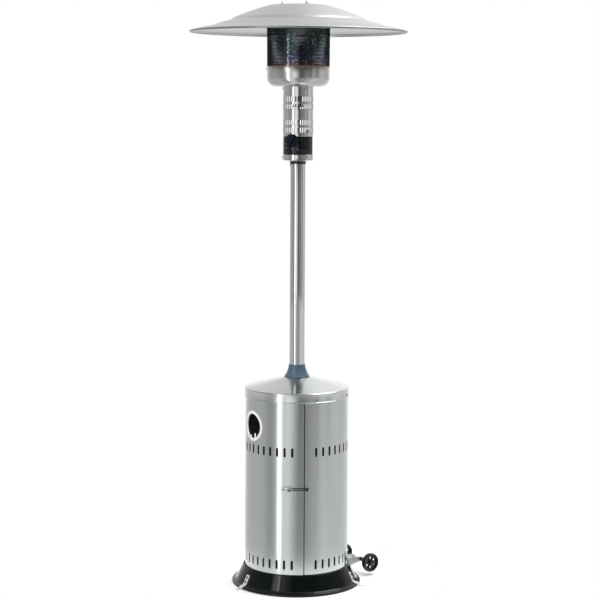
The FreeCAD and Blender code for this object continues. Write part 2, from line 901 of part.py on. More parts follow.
def make_anchor_brackets():
    """Formed strips screwed to the skirt, each with a foot that takes a ground anchor."""
    gap = s.seat_gap
    sheet = s.anchor_sheet
    top = s.anchor_top_height
    knee = s.skirt_foot_height + s.anchor_sheet
    shoulder = base_radius + gap
    foot_end = shoulder + s.anchor_foot_length
    outline = [
        off_skirt(top, gap),
        off_skirt(knee, gap),
        (lip_inner + gap, s.lip_height + gap * 2),
        (shoulder, s.lip_height + gap * 2),
        (shoulder, 0),
        (foot_end, 0),
        (foot_end, sheet),
        (shoulder + sheet, sheet),
        (shoulder + sheet, s.lip_height + gap * 2 + sheet),
        (lip_inner + sheet / 2, s.lip_height + gap * 2 + sheet),
        off_skirt(knee, gap + sheet),
        off_skirt(top, gap + sheet),
    ]
    for index, bearing in enumerate(anchor_bearings):
        body = strip(f"anchor_strip_{index}", [outline], s.anchor_width)
        cut_downwards(body, f"anchor_hole_{index}", [
            ("circle", foot_end - s.anchor_hole_inset, 0, s.anchor_hole_radius)], sheet * 2)
        bearing_turn(body, bearing)
        holes = [skirt_hole(f"anchor_screw_hole_{index}", bearing, level,
                            s.screw_radius + s.hole_clearance)
                 for level in (s.anchor_screw_upper, s.anchor_screw_lower)]
        publish(cut(f"anchor_bracket_cut_{index}", body, holes), f"anchor_bracket_{index + 1}")


def make_anchor_screws():
    """Two screws with nuts for each anchor bracket."""
    seat = anchor_seat()
    screws = []
    for index, bearing in enumerate(anchor_bearings):
        for level in (s.anchor_screw_upper, s.anchor_screw_lower):
            item = screw(f"anchor_screw_{index}", seat + s.base_sheet * 2 + s.screw_head_height,
                         nut=seat + s.base_sheet * 1.5)
            screws.append(on_skirt(item, bearing, level, seat))
    publish(group("anchor_screw_set", screws), "anchor_screws")


def anchor_seat():
    """How far an anchor screw's head lies off the skirt."""
    return s.seat_gap + s.anchor_sheet + s.seat_gap


# Wheel kit: made with its axle along Y on the +X side, then turned to its bearing


def wheel_bolt_height():
    """Height of the two bolts that hold the wheel bracket."""
    return (s.bracket_top_height + s.bracket_bottom_height) / 2


def wheel_bolt_offset():
    """How far each of those bolts lies from the bracket's middle."""
    return s.bracket_half_width / 2


def make_wheel_bracket():
    """A folded bracket: a back on the skirt and two cheeks that carry the axle."""
    gap = s.seat_gap + sagitta(s.bracket_half_width / 2, s.housing_radius)
    sheet = s.bracket_sheet
    top, bottom = s.bracket_top_height, s.bracket_bottom_height
    upper, lower = skirt_radius_at(top) + gap, skirt_radius_at(bottom) + gap
    eye, level, reach = s.bracket_eye_radius, s.wheel_axle_height, s.wheel_axle_reach
    back = strip("wheel_bracket_back", [[
        (upper, top), (lower, bottom), (lower + sheet, bottom), (upper + sheet, top)]],
        s.bracket_half_width * 2)
    cheek_outline = [
        (upper, top), (lower, bottom), (lower + sheet * 2, bottom),
        (reach, level - eye, eye), (reach + eye, level, eye), (reach, level + eye)]
    parts = [back]
    for side in (-1, 1):
        cheek = strip(f"wheel_bracket_cheek_{side + 1}", [
            cheek_outline, ("circle", reach, level, s.axle_radius + s.hole_clearance)], sheet)
        parts.append(place(cheek, y=(s.bracket_half_width - sheet / 2) * side))
    whole = fuse("wheel_bracket_whole", parts)
    bearing_turn(whole, s.wheel_bearing)
    holes = [skirt_hole("wheel_bracket_hole", s.wheel_bearing, wheel_bolt_height(),
                        s.bolt_radius + s.hole_clearance, wheel_bolt_offset() * side)
             for side in (-1, 1)]
    publish(cut("wheel_bracket_cut", whole, holes), "wheel_bracket")
    bolts = []
    seat = gap + sheet + s.seat_gap
    nut_reach = wheel_bolt_offset() + s.bolt_head_radius
    nut = seat + s.base_sheet * 1.5 + sagitta(nut_reach, skirt_radius_at(wheel_bolt_height()))
    for side in (-1, 1):
        bolt = screw("wheel_bracket_bolt", nut + s.bolt_head_height + s.bolt_spare,
                     s.bolt_radius, s.bolt_head_radius, s.bolt_head_height, nut=nut)
        bolts.append(on_skirt(bolt, s.wheel_bearing, wheel_bolt_height(), seat,
                              wheel_bolt_offset() * side))
    publish(group("wheel_bracket_bolt_set", bolts), "wheel_bracket_bolts")


def lay_across(item, offset):
    """Lays an object's +Z along the wheel axle, at an offset along it from the middle."""
    angle = polar(s.wheel_bearing)
    item.Placement = FreeCAD.Placement(
        FreeCAD.Vector(0, 0, 0),
        FreeCAD.Rotation(FreeCAD.Vector(0, 0, 1), angle.value)
        * FreeCAD.Rotation(FreeCAD.Vector(1, 0, 0), -90))
    offset = as_size(offset)
    bind(item, "Placement.Base.x", s.wheel_axle_reach * cos_of(angle) - offset * sin_of(angle))
    bind(item, "Placement.Base.y", s.wheel_axle_reach * sin_of(angle) + offset * cos_of(angle))
    bind(item, "Placement.Base.z", s.wheel_axle_height)
    return item


def make_wheels():
    """Axle, two moulded wheels with see-through holes, spacer sleeves and push-on caps."""
    half_track = s.wheel_track / 2
    hub_end = half_track + s.wheel_width / 2 + s.seat_gap * 2
    cap_depth = s.axle_cap_length - s.axle_cap_floor
    axle = cylinder("axle_rod", s.axle_radius, (hub_end + cap_depth) * 2)
    publish(lay_across(axle, -(hub_end + cap_depth)), "wheel_axle")
    half = s.wheel_width / 2
    web = s.wheel_web_width / 2
    bore = s.axle_radius + s.running_clearance
    hub = s.wheel_hub_radius
    tread = s.wheel_radius - s.wheel_tread_depth
    round_off = s.wheel_edge_radius
    outline = [
        (bore, -half), (hub, -half), (hub, -web), (tread, -web), (tread, -half),
        (s.wheel_radius - round_off, -half, round_off), (s.wheel_radius, -half + round_off),
        (s.wheel_radius, half - round_off, round_off), (s.wheel_radius - round_off, half),
        (tread, half), (tread, web), (hub, web), (hub, half), (bore, half)]
    for name, side in (("wheel_left", 1), ("wheel_right", -1)):
        body = revolved(f"{name}_body", [outline])
        hole = cut_downwards(body, f"{name}_hole", [
            ("circle", s.wheel_hole_circle, 0, s.wheel_hole_radius)], half * 2)
        repeat_round(body, hole, Size(WHEEL_HOLES), Size(360))
        publish(lay_across(body, half_track * side), name)
    sleeves, caps = [], []
    inner = s.bracket_half_width + s.seat_gap
    sleeve_length = half_track - half - s.seat_gap - inner
    for side in (-1, 1):
        sleeve = cut(f"sleeve_{side + 1}",
                     cylinder("sleeve_outer", s.axle_radius + s.sleeve_wall, sleeve_length),
                     [cylinder("sleeve_bore", s.axle_radius + s.seat_gap, sleeve_length)])
        start = inner if side > 0 else -(inner + sleeve_length)
        sleeves.append(lay_across(sleeve, start))
        cap = cut(f"axle_cap_{side + 1}",
                  cylinder("axle_cap_outer", s.axle_cap_radius, s.axle_cap_length),
                  [place(cylinder("axle_cap_bore", s.axle_radius + s.running_clearance,
                                  cap_depth), z=0 if side > 0 else s.axle_cap_floor)])
        caps.append(lay_across(cap, hub_end if side > 0 else -(hub_end + s.axle_cap_length)))
    publish(group("axle_fitting_set", sleeves + caps), "axle_fittings")


# Bottle housing


def vent_outlines():
    """The lower and upper vent slots of one column, in (across, height)."""
    return [slot_outline(Size(0), level, s.vent_width, s.vent_height)
            for level in (s.vent_lower_height, s.vent_upper_height)]


def vent_margin():
    """Angle from a seam to the first vent slot."""
    return (Size(180) - s.vent_pitch * (VENT_COLUMNS - 1)) / 2


def half_shell(name, outline):
    """Half of the housing from its section, with the first vent on +X, and its vents."""
    body = revolved(name, [outline], sweep=Size(180) - half_seam * 2,
                    lean=half_seam - vent_margin())
    depth = s.housing_sheet * 10
    vents = slot_ring(f"{name}_vent", vent_outlines(), s.housing_radius - depth / 2, depth,
                      VENT_COLUMNS, s.vent_pitch)
    return body, vents


def make_housing_shell():
    """The fixed half: stands on the base and carries the lid on its joggled upper edge."""
    low = s.base_floor_height
    joggle = s.lid_flange_bottom - s.joggle_drop
    joggle_top = joggle + s.joggle_height
    outer = lid_flange_inner() - s.seat_gap
    top = s.lid_corner_height - s.lid_sheet * 2 - s.seat_gap - s.housing_top_drop
    sheet = s.housing_sheet
    outline = [
        (s.housing_radius - s.housing_hem, low),
        (s.housing_radius, low),
        (s.housing_radius, joggle),
        (outer, joggle_top),
        (outer, top),
        (outer - sheet, top),
        (outer - sheet, joggle_top + sheet / 2),
        (housing_inner, joggle + sheet / 2),
        (housing_inner, low + sheet),
        (s.housing_radius - s.housing_hem, low + sheet)]
    body, vents = half_shell("housing_half", outline)
    for item in (body, vents):
        place(item, turn=polar(s.seam_bearing) + vent_margin())
    holes = [wall_hole("housing_lid_hole", bearing, s.lid_screw_height, s.housing_radius,
                       s.screw_radius + s.hole_clearance)
             for bearing in lid_screw_bearings()]
    publish(cut("housing_shell_cut", body, [vents] + holes), "housing_shell")


def door_levels():
    """Bottom and top heights of the door."""
    return s.base_floor_height + s.door_lift, s.lid_flange_bottom - s.door_top_gap


def make_housing_door():
    """The door half: vents, hand hole, and hems top and bottom."""
    low, top = door_levels()
    sheet = s.housing_sheet
    rim = s.housing_radius - s.housing_hem
    outline = [
        (rim, low), (s.housing_radius, low), (s.housing_radius, top), (rim, top),
        (rim, top - sheet), (housing_inner, top - sheet),
        (housing_inner, low + sheet), (rim, low + sheet)]
    body, vents = half_shell("door_half", outline)
    for item in (body, vents):
        place(item, turn=polar(rear_seam) + vent_margin())
    hole = radial_hole("hand_hole", s.hand_hole_bearing, s.hand_hole_height,
                       s.housing_radius - s.hand_hole_radius, s.housing_radius + s.drill_reach,
                       s.hand_hole_radius)
    publish(cut("housing_door_cut", body, [vents, hole]), "housing_door")


def make_hand_hole_trim():
    """A moulded edge trim that grips the sheet round the hand hole."""
    slack = s.trim_slot_clearance
    ring, groove_wall = [
        revolved(name, [box_outline(
            housing_inner - room, s.hand_hole_height - s.hand_hole_radius * 2,
            s.housing_radius + room, s.hand_hole_height + s.hand_hole_radius * 2)])
        for name, room in (("trim_wall", s.trim_proud), ("trim_groove_wall", slack))]
    outer, inner, core = [
        radial_hole(name, s.hand_hole_bearing, s.hand_hole_height,
                    s.housing_radius - s.hand_hole_radius, s.housing_radius + s.drill_reach, radius)
        for name, radius in (("trim_outer", s.trim_outer_radius),
                             ("trim_inner", s.trim_inner_radius),
                             ("trim_core", s.hand_hole_radius - slack))]
    groove = cut("trim_groove", groove_wall, [core])
    blank = cut("trim_blank", common("trim_disc", ring, outer), [inner])
    publish(cut("trim_grooved", blank, [groove]), "hand_hole_trim")


# Door hinges: local +X is outwards at the rear seam


def hinge_axis_reach():
    """Distance of the hinge pins from the heater's axis."""
    return s.housing_radius + s.seat_gap + s.hinge_knuckle_rise + s.hinge_knuckle_radius


def hinge_half(name, middle, sign, spans):
    """One leaf on the housing's wall with its share of the knuckle.

    sign is 1 for the door's leaf and -1 for the fixed one; spans are (bottom, top) stretches
    of the knuckle, as shares of the hinge's length.
    """
    low = middle - s.hinge_length / 2
    inner = s.housing_radius + s.seat_gap
    outer = inner + s.hinge_leaf_sheet
    half_turn = Size(180 / math.pi) * s.hinge_leaf_width / s.housing_radius
    leaf = revolved(f"{name}_leaf", [box_outline(inner, low, outer, low + s.hinge_length)],
                    sweep=half_turn)
    edge = Size(180 / math.pi) * (s.hinge_knuckle_radius + s.hinge_leaf_gap) / s.housing_radius
    place(leaf, turn=polar(rear_seam) + (edge if sign > 0 else -edge - half_turn))
    reach = hinge_axis_reach()
    bridge_width = s.hinge_bridge_width
    parts = [leaf]
    for index, (start, end) in enumerate(spans):
        height = low + s.hinge_length * start
        length = s.hinge_length * (end - start) - s.seat_gap
        tube = cylinder(f"{name}_tube_{index}", s.hinge_knuckle_radius, length)
        bridge = block(f"{name}_bridge_{index}",
                       (inner + s.seat_gap, 0 if sign > 0 else -bridge_width, 0),
                       (s.hinge_bridge_sheet, bridge_width, length))
        knuckle = fuse(f"{name}_knuckle_{index}", [place(tube, x=reach), bridge])
        parts.append(place(knuckle, z=height, turn=polar(rear_seam)))
    bore = upright(cylinder(f"{name}_bore", s.hinge_pin_radius + s.running_clearance,
                            s.hinge_length + s.drill_reach * 2),
                   rear_seam, reach, low - s.drill_reach)
    return cut(f"{name}_bored", fuse(f"{name}_half", parts), [bore])


def make_hinges():
    """Two butt hinges at the rear seam."""
    fixed, moving, pins = [], [], []
    for index, middle in enumerate((s.hinge_lower_height, s.hinge_upper_height)):
        fixed.append(hinge_half(f"hinge_fixed_{index}", middle, -1, KNUCKLE_ENDS))
        moving.append(hinge_half(f"hinge_moving_{index}", middle, 1, KNUCKLE_MIDDLE))
        rod = cylinder(f"hinge_rod_{index}", s.hinge_pin_radius, s.hinge_length + s.seat_gap)
        cap = place(cylinder(f"hinge_rod_cap_{index}", s.hinge_knuckle_radius,
                             s.hinge_cap_height), z=s.hinge_length + s.seat_gap)
        pins.append(upright(fuse(f"hinge_pin_{index}", [rod, cap]), rear_seam,
                            hinge_axis_reach(), middle - s.hinge_length / 2))
    publish(group("hinge_fixed_set", fixed), "hinge_fixed_leaves")
    publish(group("hinge_moving_set", moving), "hinge_door_leaves")
    publish(group("hinge_pin_set", pins), "hinge_pins")


# Draw latch: made with X outwards from the housing's wall, Y to the right and Z up, with the
# origin on the heater's axis, then turned to its bearing


def latch_place(item, bearing=None):
    """Turns a latch piece to its bearing and lifts it to the latch's height."""
    return place(item, z=s.latch_height, turn=polar(bearing or s.latch_bearing))


def latch_pivot_reach():
    """Distance of the lever's pivot from the heater's axis."""
    return s.housing_radius + s.latch_pivot_rise


def bail_pivot():
    """The bail's pivot on the lever, as (outwards, to the right)."""
    return latch_pivot_reach() - s.bail_pivot_drop, -s.latch_throw


def make_latch_base():
    """Plate with two ears on the door, curved to the wall, and a rest for the lever."""
    wall = s.housing_radius
    foot = wall + s.latch_ear_start
    pivot = latch_pivot_reach()
    eye = s.latch_ear_eye
    half_height = s.latch_ear_inner + s.latch_ear_sheet
    half_angle = Size(180 / math.pi) * s.latch_plate_half_width / wall
    parts = [revolved("latch_plate", [box_outline(
        wall + s.seat_gap, -half_height, wall + s.seat_gap + s.latch_plate_sheet, half_height)],
        sweep=half_angle * 2, lean=-half_angle)]
    outline = [(foot, -s.latch_ear_foot), (foot, s.latch_ear_foot), (pivot, eye),
               (pivot + eye, 0), (pivot, -eye)]
    pin_hole = ("circle", pivot, 0, s.latch_pin_radius + s.running_clearance)
    for name, low in (("lower", -half_height), ("upper", s.latch_ear_inner)):
        parts.append(raised(f"latch_ear_{name}", [outline, pin_hole], s.latch_ear_sheet,
                            offset=low))
    parts.append(block(
        "latch_rest", (foot, -s.latch_rest_half_width, -s.latch_rest_half_height),
        (s.latch_rest_rise, s.latch_rest_half_width * 2, s.latch_rest_half_height * 2)))
    publish(latch_place(fuse("latch_base_whole", parts)), "latch_base")


def lever_half_width():
    """Half of the lever's width over its cheeks."""
    return s.latch_ear_inner - s.seat_gap


def lever_plate():
    """The lever's finger plate, looped at its end."""
    half, reach = lever_half_width(), s.latch_lever_reach
    start = s.lever_plate_start + s.latch_throw / 2
    outline = [
        (-start, -half), (-start, half), (-reach + half, half, half), (-reach, Size(0), half),
        (-reach + half, -half)]
    loop = lying_slot(-reach + s.lever_tip_length, -s.lever_loop_end, half - s.lever_loop_wall)
    plate = new_body("lever_plate")
    pad = plate.newObject("PartDesign::Pad", "lever_plate_pad")
    pad.Profile = draw(plate, "lever_plate_outline", [outline, loop], "YZ_Plane",
                       offset=s.housing_radius + s.lever_plate_rise)
    bind(pad, "Length", s.latch_cheek_sheet)
    return plate


def make_latch_lever():
    """Lever: a looped finger plate with two cheeks that turn on the ears' rivets."""
    pivot = latch_pivot_reach()
    bail_x, bail_y = bail_pivot()
    plate_low = s.housing_radius + s.lever_plate_rise
    half, sheet, eye = lever_half_width(), s.latch_cheek_sheet, s.lever_eye_margin
    tail = -s.latch_throw - s.lever_cheek_tail
    outlines = [
        [(plate_low, tail), (plate_low, -s.lever_cheek_root), (pivot - eye, eye),
         (pivot + eye, eye), (pivot + eye, bail_y - s.lever_bail_margin),
         (plate_low + sheet, tail)],
        ("circle", pivot, 0, s.latch_pin_radius + s.running_clearance),
        ("circle", bail_x, bail_y, s.latch_wire_radius + s.running_clearance)]
    cheeks = [raised(f"lever_cheek_{name}", outlines, sheet, offset=low)
              for name, low in (("lower", -half), ("upper", half - sheet))]
    publish(latch_place(fuse("latch_lever_whole", [lever_plate()] + cheeks)), "latch_lever")


def make_latch_rivets():
    """The two rivets that the lever turns on."""
    inner = lever_half_width() - s.latch_cheek_sheet - s.seat_gap
    length = s.latch_ear_sheet + s.latch_cheek_sheet + s.seat_gap * 2
    head_height = s.rivet_head_height
    rivets = []
    for name, side in (("lower", -1), ("upper", 1)):
        shank = cylinder(f"rivet_shank_{name}", s.latch_pin_radius, length + head_height / 2)
        head = cylinder(f"rivet_head_{name}", s.rivet_head_radius, head_height)
        if side > 0:
            place(shank, z=inner)
            place(head, z=inner + length)
        else:
            place(shank, z=-(inner + length + head_height / 2))
            place(head, z=-(inner + length + head_height))
        rivets.append(place(fuse(f"latch_rivet_{name}", [shank, head]), x=latch_pivot_reach()))
    publish(latch_place(group("latch_rivet_set", rivets)), "latch_rivets")


def lying_slot(left, right, half):
    """A lying slot with round ends, in (across, height)."""
    return [
        (left + half, half), (right - half, half, -half), (right, Size(0), -half),
        (right - half, -half), (left + half, -half, -half), (left, Size(0), -half)]


def hook_in_latch_frame():
    """The hook block's middle in the latch's own plan, as (outwards, to the right)."""
    swing = s.latch_hook_bearing - s.latch_bearing
    reach = s.housing_radius + s.latch_wire_rise
    return reach * cos_of(swing), reach * sin_of(swing)


def bail_rods(name, radius):
    """The two long stretches of the bail's wire, or the grooves that take them."""
    bail_x, bail_y = bail_pivot()
    hook_x, hook_y = hook_in_latch_frame()
    run_x, run_y = hook_x - bail_x, hook_y - bail_y
    heading = math.degrees(math.atan2(run_y.value, run_x.value))
    rods = []
    for side in (-1, 1):
        rod = cylinder(name, radius, root_of(run_x * run_x + run_y * run_y))
        rod.Placement = FreeCAD.Placement(
            FreeCAD.Vector(0, 0, 0),
            FreeCAD.Rotation(FreeCAD.Vector(0, 0, 1), heading)
            * FreeCAD.Rotation(FreeCAD.Vector(0, 1, 0), 90))
        bind(rod, "Placement.Base.x", bail_x)
        bind(rod, "Placement.Base.y", bail_y)
        bind(rod, "Placement.Base.z", s.latch_wire_spacing / 2 * side)
        rods.append(rod)
    return rods


def make_latch_bail():
    """The wire bail, whose ends turn in the lever's cheeks."""
    bail_x, bail_y = bail_pivot()
    hook_x, hook_y = hook_in_latch_frame()
    wire, half, outer = s.latch_wire_radius, s.latch_wire_spacing / 2, lever_half_width()
    parts = bail_rods("bail_rod", wire)
    for side in (-1, 1):
        end = cylinder("bail_end", wire, outer - half)
        parts.append(place(end, bail_x, bail_y, half if side > 0 else -outer))
        corner = doc.addObject("Part::Sphere", "bail_corner")
        bind(corner, "Radius", wire)
        parts.append(place(corner, bail_x, bail_y, half * side))
    parts.append(place(cylinder("bail_cross", wire, half * 2), hook_x, hook_y, -half))
    publish(latch_place(fuse("bail_whole", parts)), "latch_bail")


def make_latch_hook():
    """The plastic hook block that is clipped on the bail's wire."""
    hook_x, hook_y = hook_in_latch_frame()
    half, half_wire = s.latch_hook_size / 2, s.latch_wire_spacing / 2
    low = s.housing_radius + s.latch_hook_lift
    top = s.housing_radius + s.latch_hook_top
    mouth = low + s.latch_hook_mouth
    lip = -half + s.latch_hook_lip
    chamfer = s.latch_hook_chamfer
    catch = s.keeper_fin_offset + s.keeper_fin_sheet + s.latch_hook_slack
    outline = [
        (low, -half), (top - chamfer, -half), (top, -half + chamfer), (top, half - chamfer),
        (top - chamfer, half), (low, half), (low, catch), (mouth, catch), (mouth, lip), (low, lip)]
    hook = raised("hook_block", [outline], half * 2, offset=-half)
    room = s.latch_wire_radius + s.running_clearance
    grooves = bail_rods("hook_groove", room)
    grooves.append(place(cylinder("hook_cross_groove", room, (half_wire + room) * 2),
                         hook_x, hook_y, -half_wire - room))
    latch_place(hook, s.latch_hook_bearing)
    publish(cut("hook_grooved", hook, [latch_place(group("hook_grooves", grooves))]), "latch_hook")


def make_latch_keeper():
    """The small steel keeper that the hook pulls on."""
    wall = s.housing_radius + s.seat_gap
    face = wall + s.keeper_sheet
    side = s.latch_hook_size / 2 + s.keeper_margin
    fin, fin_end = s.keeper_fin_offset, s.keeper_fin_offset + s.keeper_fin_sheet
    fin_top = wall + s.keeper_fin_rise
    outline = [
        (wall, -side), (wall, side), (face, side), (face, fin_end),
        (fin_top, fin_end), (fin_top, fin), (face, fin), (face, -side)]
    keeper = raised("keeper_plate", [outline], s.latch_hook_size,
                    offset=-s.latch_hook_size / 2)
    publish(latch_place(keeper, s.latch_hook_bearing), "latch_keeper")


# Lid


def lid_shoulder():
    """Radius at which the lid's cone ends in its rounded shoulder."""
    return s.lid_corner_radius - s.lid_shoulder_width


def lid_slope():
    """Fall of the lid's cone for each millimetre outwards."""
    fall = s.lid_apex_height - s.lid_corner_height - s.lid_shoulder_drop
    return fall / (lid_shoulder() - s.lid_apex_radius)


def lid_flange_inner():
    """Inner radius of the lid's flange where it goes over the housing."""
    return s.lid_corner_radius - s.lid_wall_inset - s.lid_sheet


def lid_screw_bearings():
    """Bearings of the screws that hold the lid to the fixed half."""
    return [s.lid_first_screw_bearing + s.lid_screw_pitch * index for index in range(LID_SCREWS)]


def lid_centre_radius():
    """Radius of the hole in the lid's middle."""
    return s.post_radius + s.lid_hole_clearance


def lid_height_at(radius):
    """Height of the cone's outer face at a radius."""
    return s.lid_apex_height - lid_slope() * (radius - s.lid_apex_radius)


def make_lid():
    """The conical lid with its hemmed flange."""
    sheet = s.lid_sheet
    corner = s.lid_corner_radius
    shoulder = lid_shoulder()
    high = lid_height_at(shoulder)
    bevel = high - s.lid_bevel_fall
    low = s.lid_flange_bottom
    wall = lid_flange_inner() + sheet
    hole = lid_centre_radius()
    hem = corner + s.lid_hem_proud
    hem_top = low + s.lid_hem_height
    hem_middle = low + s.lid_hem_height / 2
    outline = [
        (hole, lid_height_at(hole)),
        (shoulder, high, -s.lid_shoulder_radius),
        (corner, high - s.lid_corner_fall),
        (wall, bevel),
        (wall, hem_top),
        (hem, hem_middle),
        (hem, low),
        (hem - sheet, low),
        (hem - sheet, hem_middle - sheet / 2),
        (wall - sheet, hem_top - sheet / 2),
        (wall - sheet, bevel - sheet / 4),
        (corner - sheet, high - s.lid_corner_fall - sheet / 4),
        (shoulder - sheet / 2, high - sheet),
        (hole, lid_height_at(hole) - sheet)]
    body = revolved("lid_turned", [outline])
    holes = [wall_hole("lid_hole", bearing, s.lid_screw_height, wall,
                       s.screw_radius + s.hole_clearance)
             for bearing in lid_screw_bearings()]
    publish(cut("lid_cut", body, holes), "top_cover")
    screws = [outward(screw("lid_screw", s.lid_screw_length), bearing, wall + s.seat_gap,
                      s.lid_screw_height)
              for bearing in lid_screw_bearings()]
    publish(group("lid_screw_set", screws), "cover_screws")


# Legs and post mount


def leg_foot_centre():
    """Reach of the bolts through the legs' feet and heads."""
    return s.leg_inner_radius + s.leg_sheet + (s.leg_foot - s.leg_sheet) / 2


def make_legs():
    """Three formed strips from the base to the mount plate."""
    low, top = s.base_floor_height, s.mount_plate_height
    inner, outer = s.leg_inner_radius, s.leg_inner_radius + s.leg_foot
    face = inner + s.leg_sheet
    tread, head = low + s.leg_foot_sheet, top - s.leg_foot_sheet
    outline = [
        (inner, low), (outer, low), (outer, tread), (face, tread), (face, head), (outer, head),
        (outer, top), (inner, top)]
    for index, bearing in enumerate(leg_bearings):
        body = strip(f"leg_{index}", [outline], s.leg_width)
        cut_downwards(body, f"leg_{index}_hole", [
            ("circle", leg_foot_centre(), 0, s.bolt_radius + s.hole_clearance)],
            top + s.leg_sheet)
        publish(bearing_turn(body, bearing), f"support_leg_{index + 1}")
        for height, sheet, flip in ((tread, s.base_sheet, 0), (head, s.mount_plate_sheet, 180)):
            bolt = frame_bolt("leg_bolt", s.leg_foot_sheet + sheet)
            reach, angle = leg_foot_centre(), polar(bearing)
            place(bolt, reach * cos_of(angle), reach * sin_of(angle), height, turn=flip,
                  axis=FreeCAD.Vector(1, 0, 0))


def frame_bolt(name, grip):
    """A bolt with a nut through sheets of a joint thickness, kept with the frame's bolts."""
    bolt = screw(name, grip + s.bolt_head_height + s.bolt_spare, s.bolt_radius,
                 s.bolt_head_radius, s.bolt_head_height, nut=grip)
    frame_bolts.append(bolt)
    return bolt


def make_post_mount():
    """The mount plate on the legs and the socket that the post stands in."""
    low = s.mount_plate_height
    sheet = s.mount_plate_sheet
    hole = s.bolt_radius + s.hole_clearance
    plate = raised("mount_disc", [
        [(-s.mount_plate_radius, Size(0), s.mount_plate_radius),
         (Size(0), -s.mount_plate_radius, s.mount_plate_radius),
         (s.mount_plate_radius, Size(0), s.mount_plate_radius),
         (Size(0), s.mount_plate_radius, s.mount_plate_radius)]], sheet, offset=low)
    cutters = [floor_hole("mount_pipe_hole", s.knob_bearing, s.gas_pipe_offset, low,
                          s.gas_pipe_radius + s.hole_clearance)]
    cutters += [floor_hole("mount_leg_hole", bearing, leg_foot_centre(), low, hole)
                for bearing in leg_bearings]
    cutters += [floor_hole("mount_socket_hole", bearing, s.socket_bolt_circle, low, hole)
                for bearing in three_bearings]
    publish(cut("mount_plate_cut", plate, cutters), "mount_plate")
    base = low + sheet
    flange = s.socket_flange_sheet
    outline = [
        (spigot_inner, base), (s.socket_flange_radius, base), (s.socket_flange_radius, base + flange),
        (spigot_radius, base + flange), (spigot_radius, s.socket_top_height),
        (spigot_inner, s.socket_top_height)]
    socket = revolved("socket_turned", [outline])
    cutters = []
    for bearing in three_bearings:
        cutters.append(floor_hole("socket_hole", bearing, s.socket_bolt_circle, base, hole))
        cutters.append(wall_hole("socket_post_hole", bearing, post_bolt_height(), spigot_radius,
                                 hole))
        upright(frame_bolt("socket_bolt", flange + sheet), bearing, s.socket_bolt_circle,
                base + flange)
    publish(cut("socket_cut", socket, cutters), "post_socket")


def post_bolt_height():
    """Height of the screws that lock the post on its socket."""
    return post_foot_height + s.post_bolt_rise


# Post


def head_screw_height():
    """Height of the screws through the post's top."""
    return s.post_top_height - s.post_screw_drop


def make_post():
    """The post, the screws at its two ends, its collar and the ring at its top."""
    low = post_foot_height
    tube = revolved("post_tube", [box_outline(post_inner, low, s.post_radius, s.post_top_height)])
    hole = s.bolt_radius + s.hole_clearance
    cutters = []
    for bearing in three_bearings:
        for height, kept in ((post_bolt_height(), frame_bolts), (head_screw_height(), head_screws)):
            cutters.append(wall_hole("post_hole", bearing, height, s.post_radius, hole))
            item = screw("post_screw", s.post_wall + s.spigot_wall + s.post_screw_spare,
                         s.bolt_radius, s.screw_head_radius, s.screw_head_height)
            kept.append(outward(item, bearing, s.post_radius + s.seat_gap, height))
    publish(cut("post_cut", tube, cutters), "post")
    bore = s.post_radius + s.seat_gap
    foot = s.collar_foot_radius
    base = lid_height_at(foot) + s.seat_gap
    top = s.lid_apex_height + s.collar_height
    neck = bore + s.collar_wall
    edge = s.collar_edge_radius
    collar = revolved("collar_turned", [[
        (bore, top), (bore, lid_height_at(bore) + s.seat_gap), (foot, base),
        (foot, base + s.collar_foot_edge, -s.collar_foot_bend),
        (neck + s.collar_flare, top - s.collar_flare_drop, -s.collar_neck_bend),
        (neck, top - edge, edge), (neck - edge, top)]])
    publish(collar, "post_collar")
    ring = revolved("ring_turned", [box_outline(
        bore, s.column_foot_height - s.top_ring_drop, s.post_radius + s.top_ring_proud,
        s.column_foot_height - s.seat_gap)])
    publish(ring, "post_top_ring")


# Burner column


def column_screw_heights():
    """Heights of the lower and upper screws of the column."""
    return (s.column_bottom_height + s.column_screw_rise,
            s.column_top_height - s.column_screw_drop)


def make_column_foot():
    """A spun foot: a spigot in the post's top and a cone with a rim inside the column."""
    sheet = s.spigot_wall
    foot = s.column_foot_height
    floor = s.column_bottom_height
    rim = column_inner - s.seat_gap
    cone_start = s.post_radius + s.top_ring_proud
    spigot_low = s.post_top_height - s.spigot_depth
    rim_top = floor + s.foot_rim_height
    outline = [
        (spigot_inner, spigot_low), (spigot_radius, spigot_low),
        (spigot_radius, foot), (cone_start, foot), (s.column_radius, floor - s.seat_gap),
        (s.column_radius, floor), (rim, floor), (rim, rim_top), (rim - sheet, rim_top),
        (rim - sheet, floor + sheet * 0.6), (cone_start, foot + sheet), (spigot_inner, foot + sheet)]
    body = revolved("foot_turned", [outline])
    cutters = []
    for bearing in three_bearings:
        cutters.append(wall_hole("foot_hole", bearing, head_screw_height(), spigot_radius,
                                 s.bolt_radius + s.hole_clearance))
        cutters.append(wall_hole("foot_rim_hole", bearing, column_screw_heights()[0], rim,
                                 s.screw_radius + s.hole_clearance))
    publish(cut("foot_cut", body, cutters), "column_foot")


def column_vent_heights():
    """Middle heights of the four rows of column vents."""
    return [s.column_top_height - drop for drop in (
        s.column_vent_drop_1, s.column_vent_drop_2, s.column_vent_drop_3, s.column_vent_drop_4)]


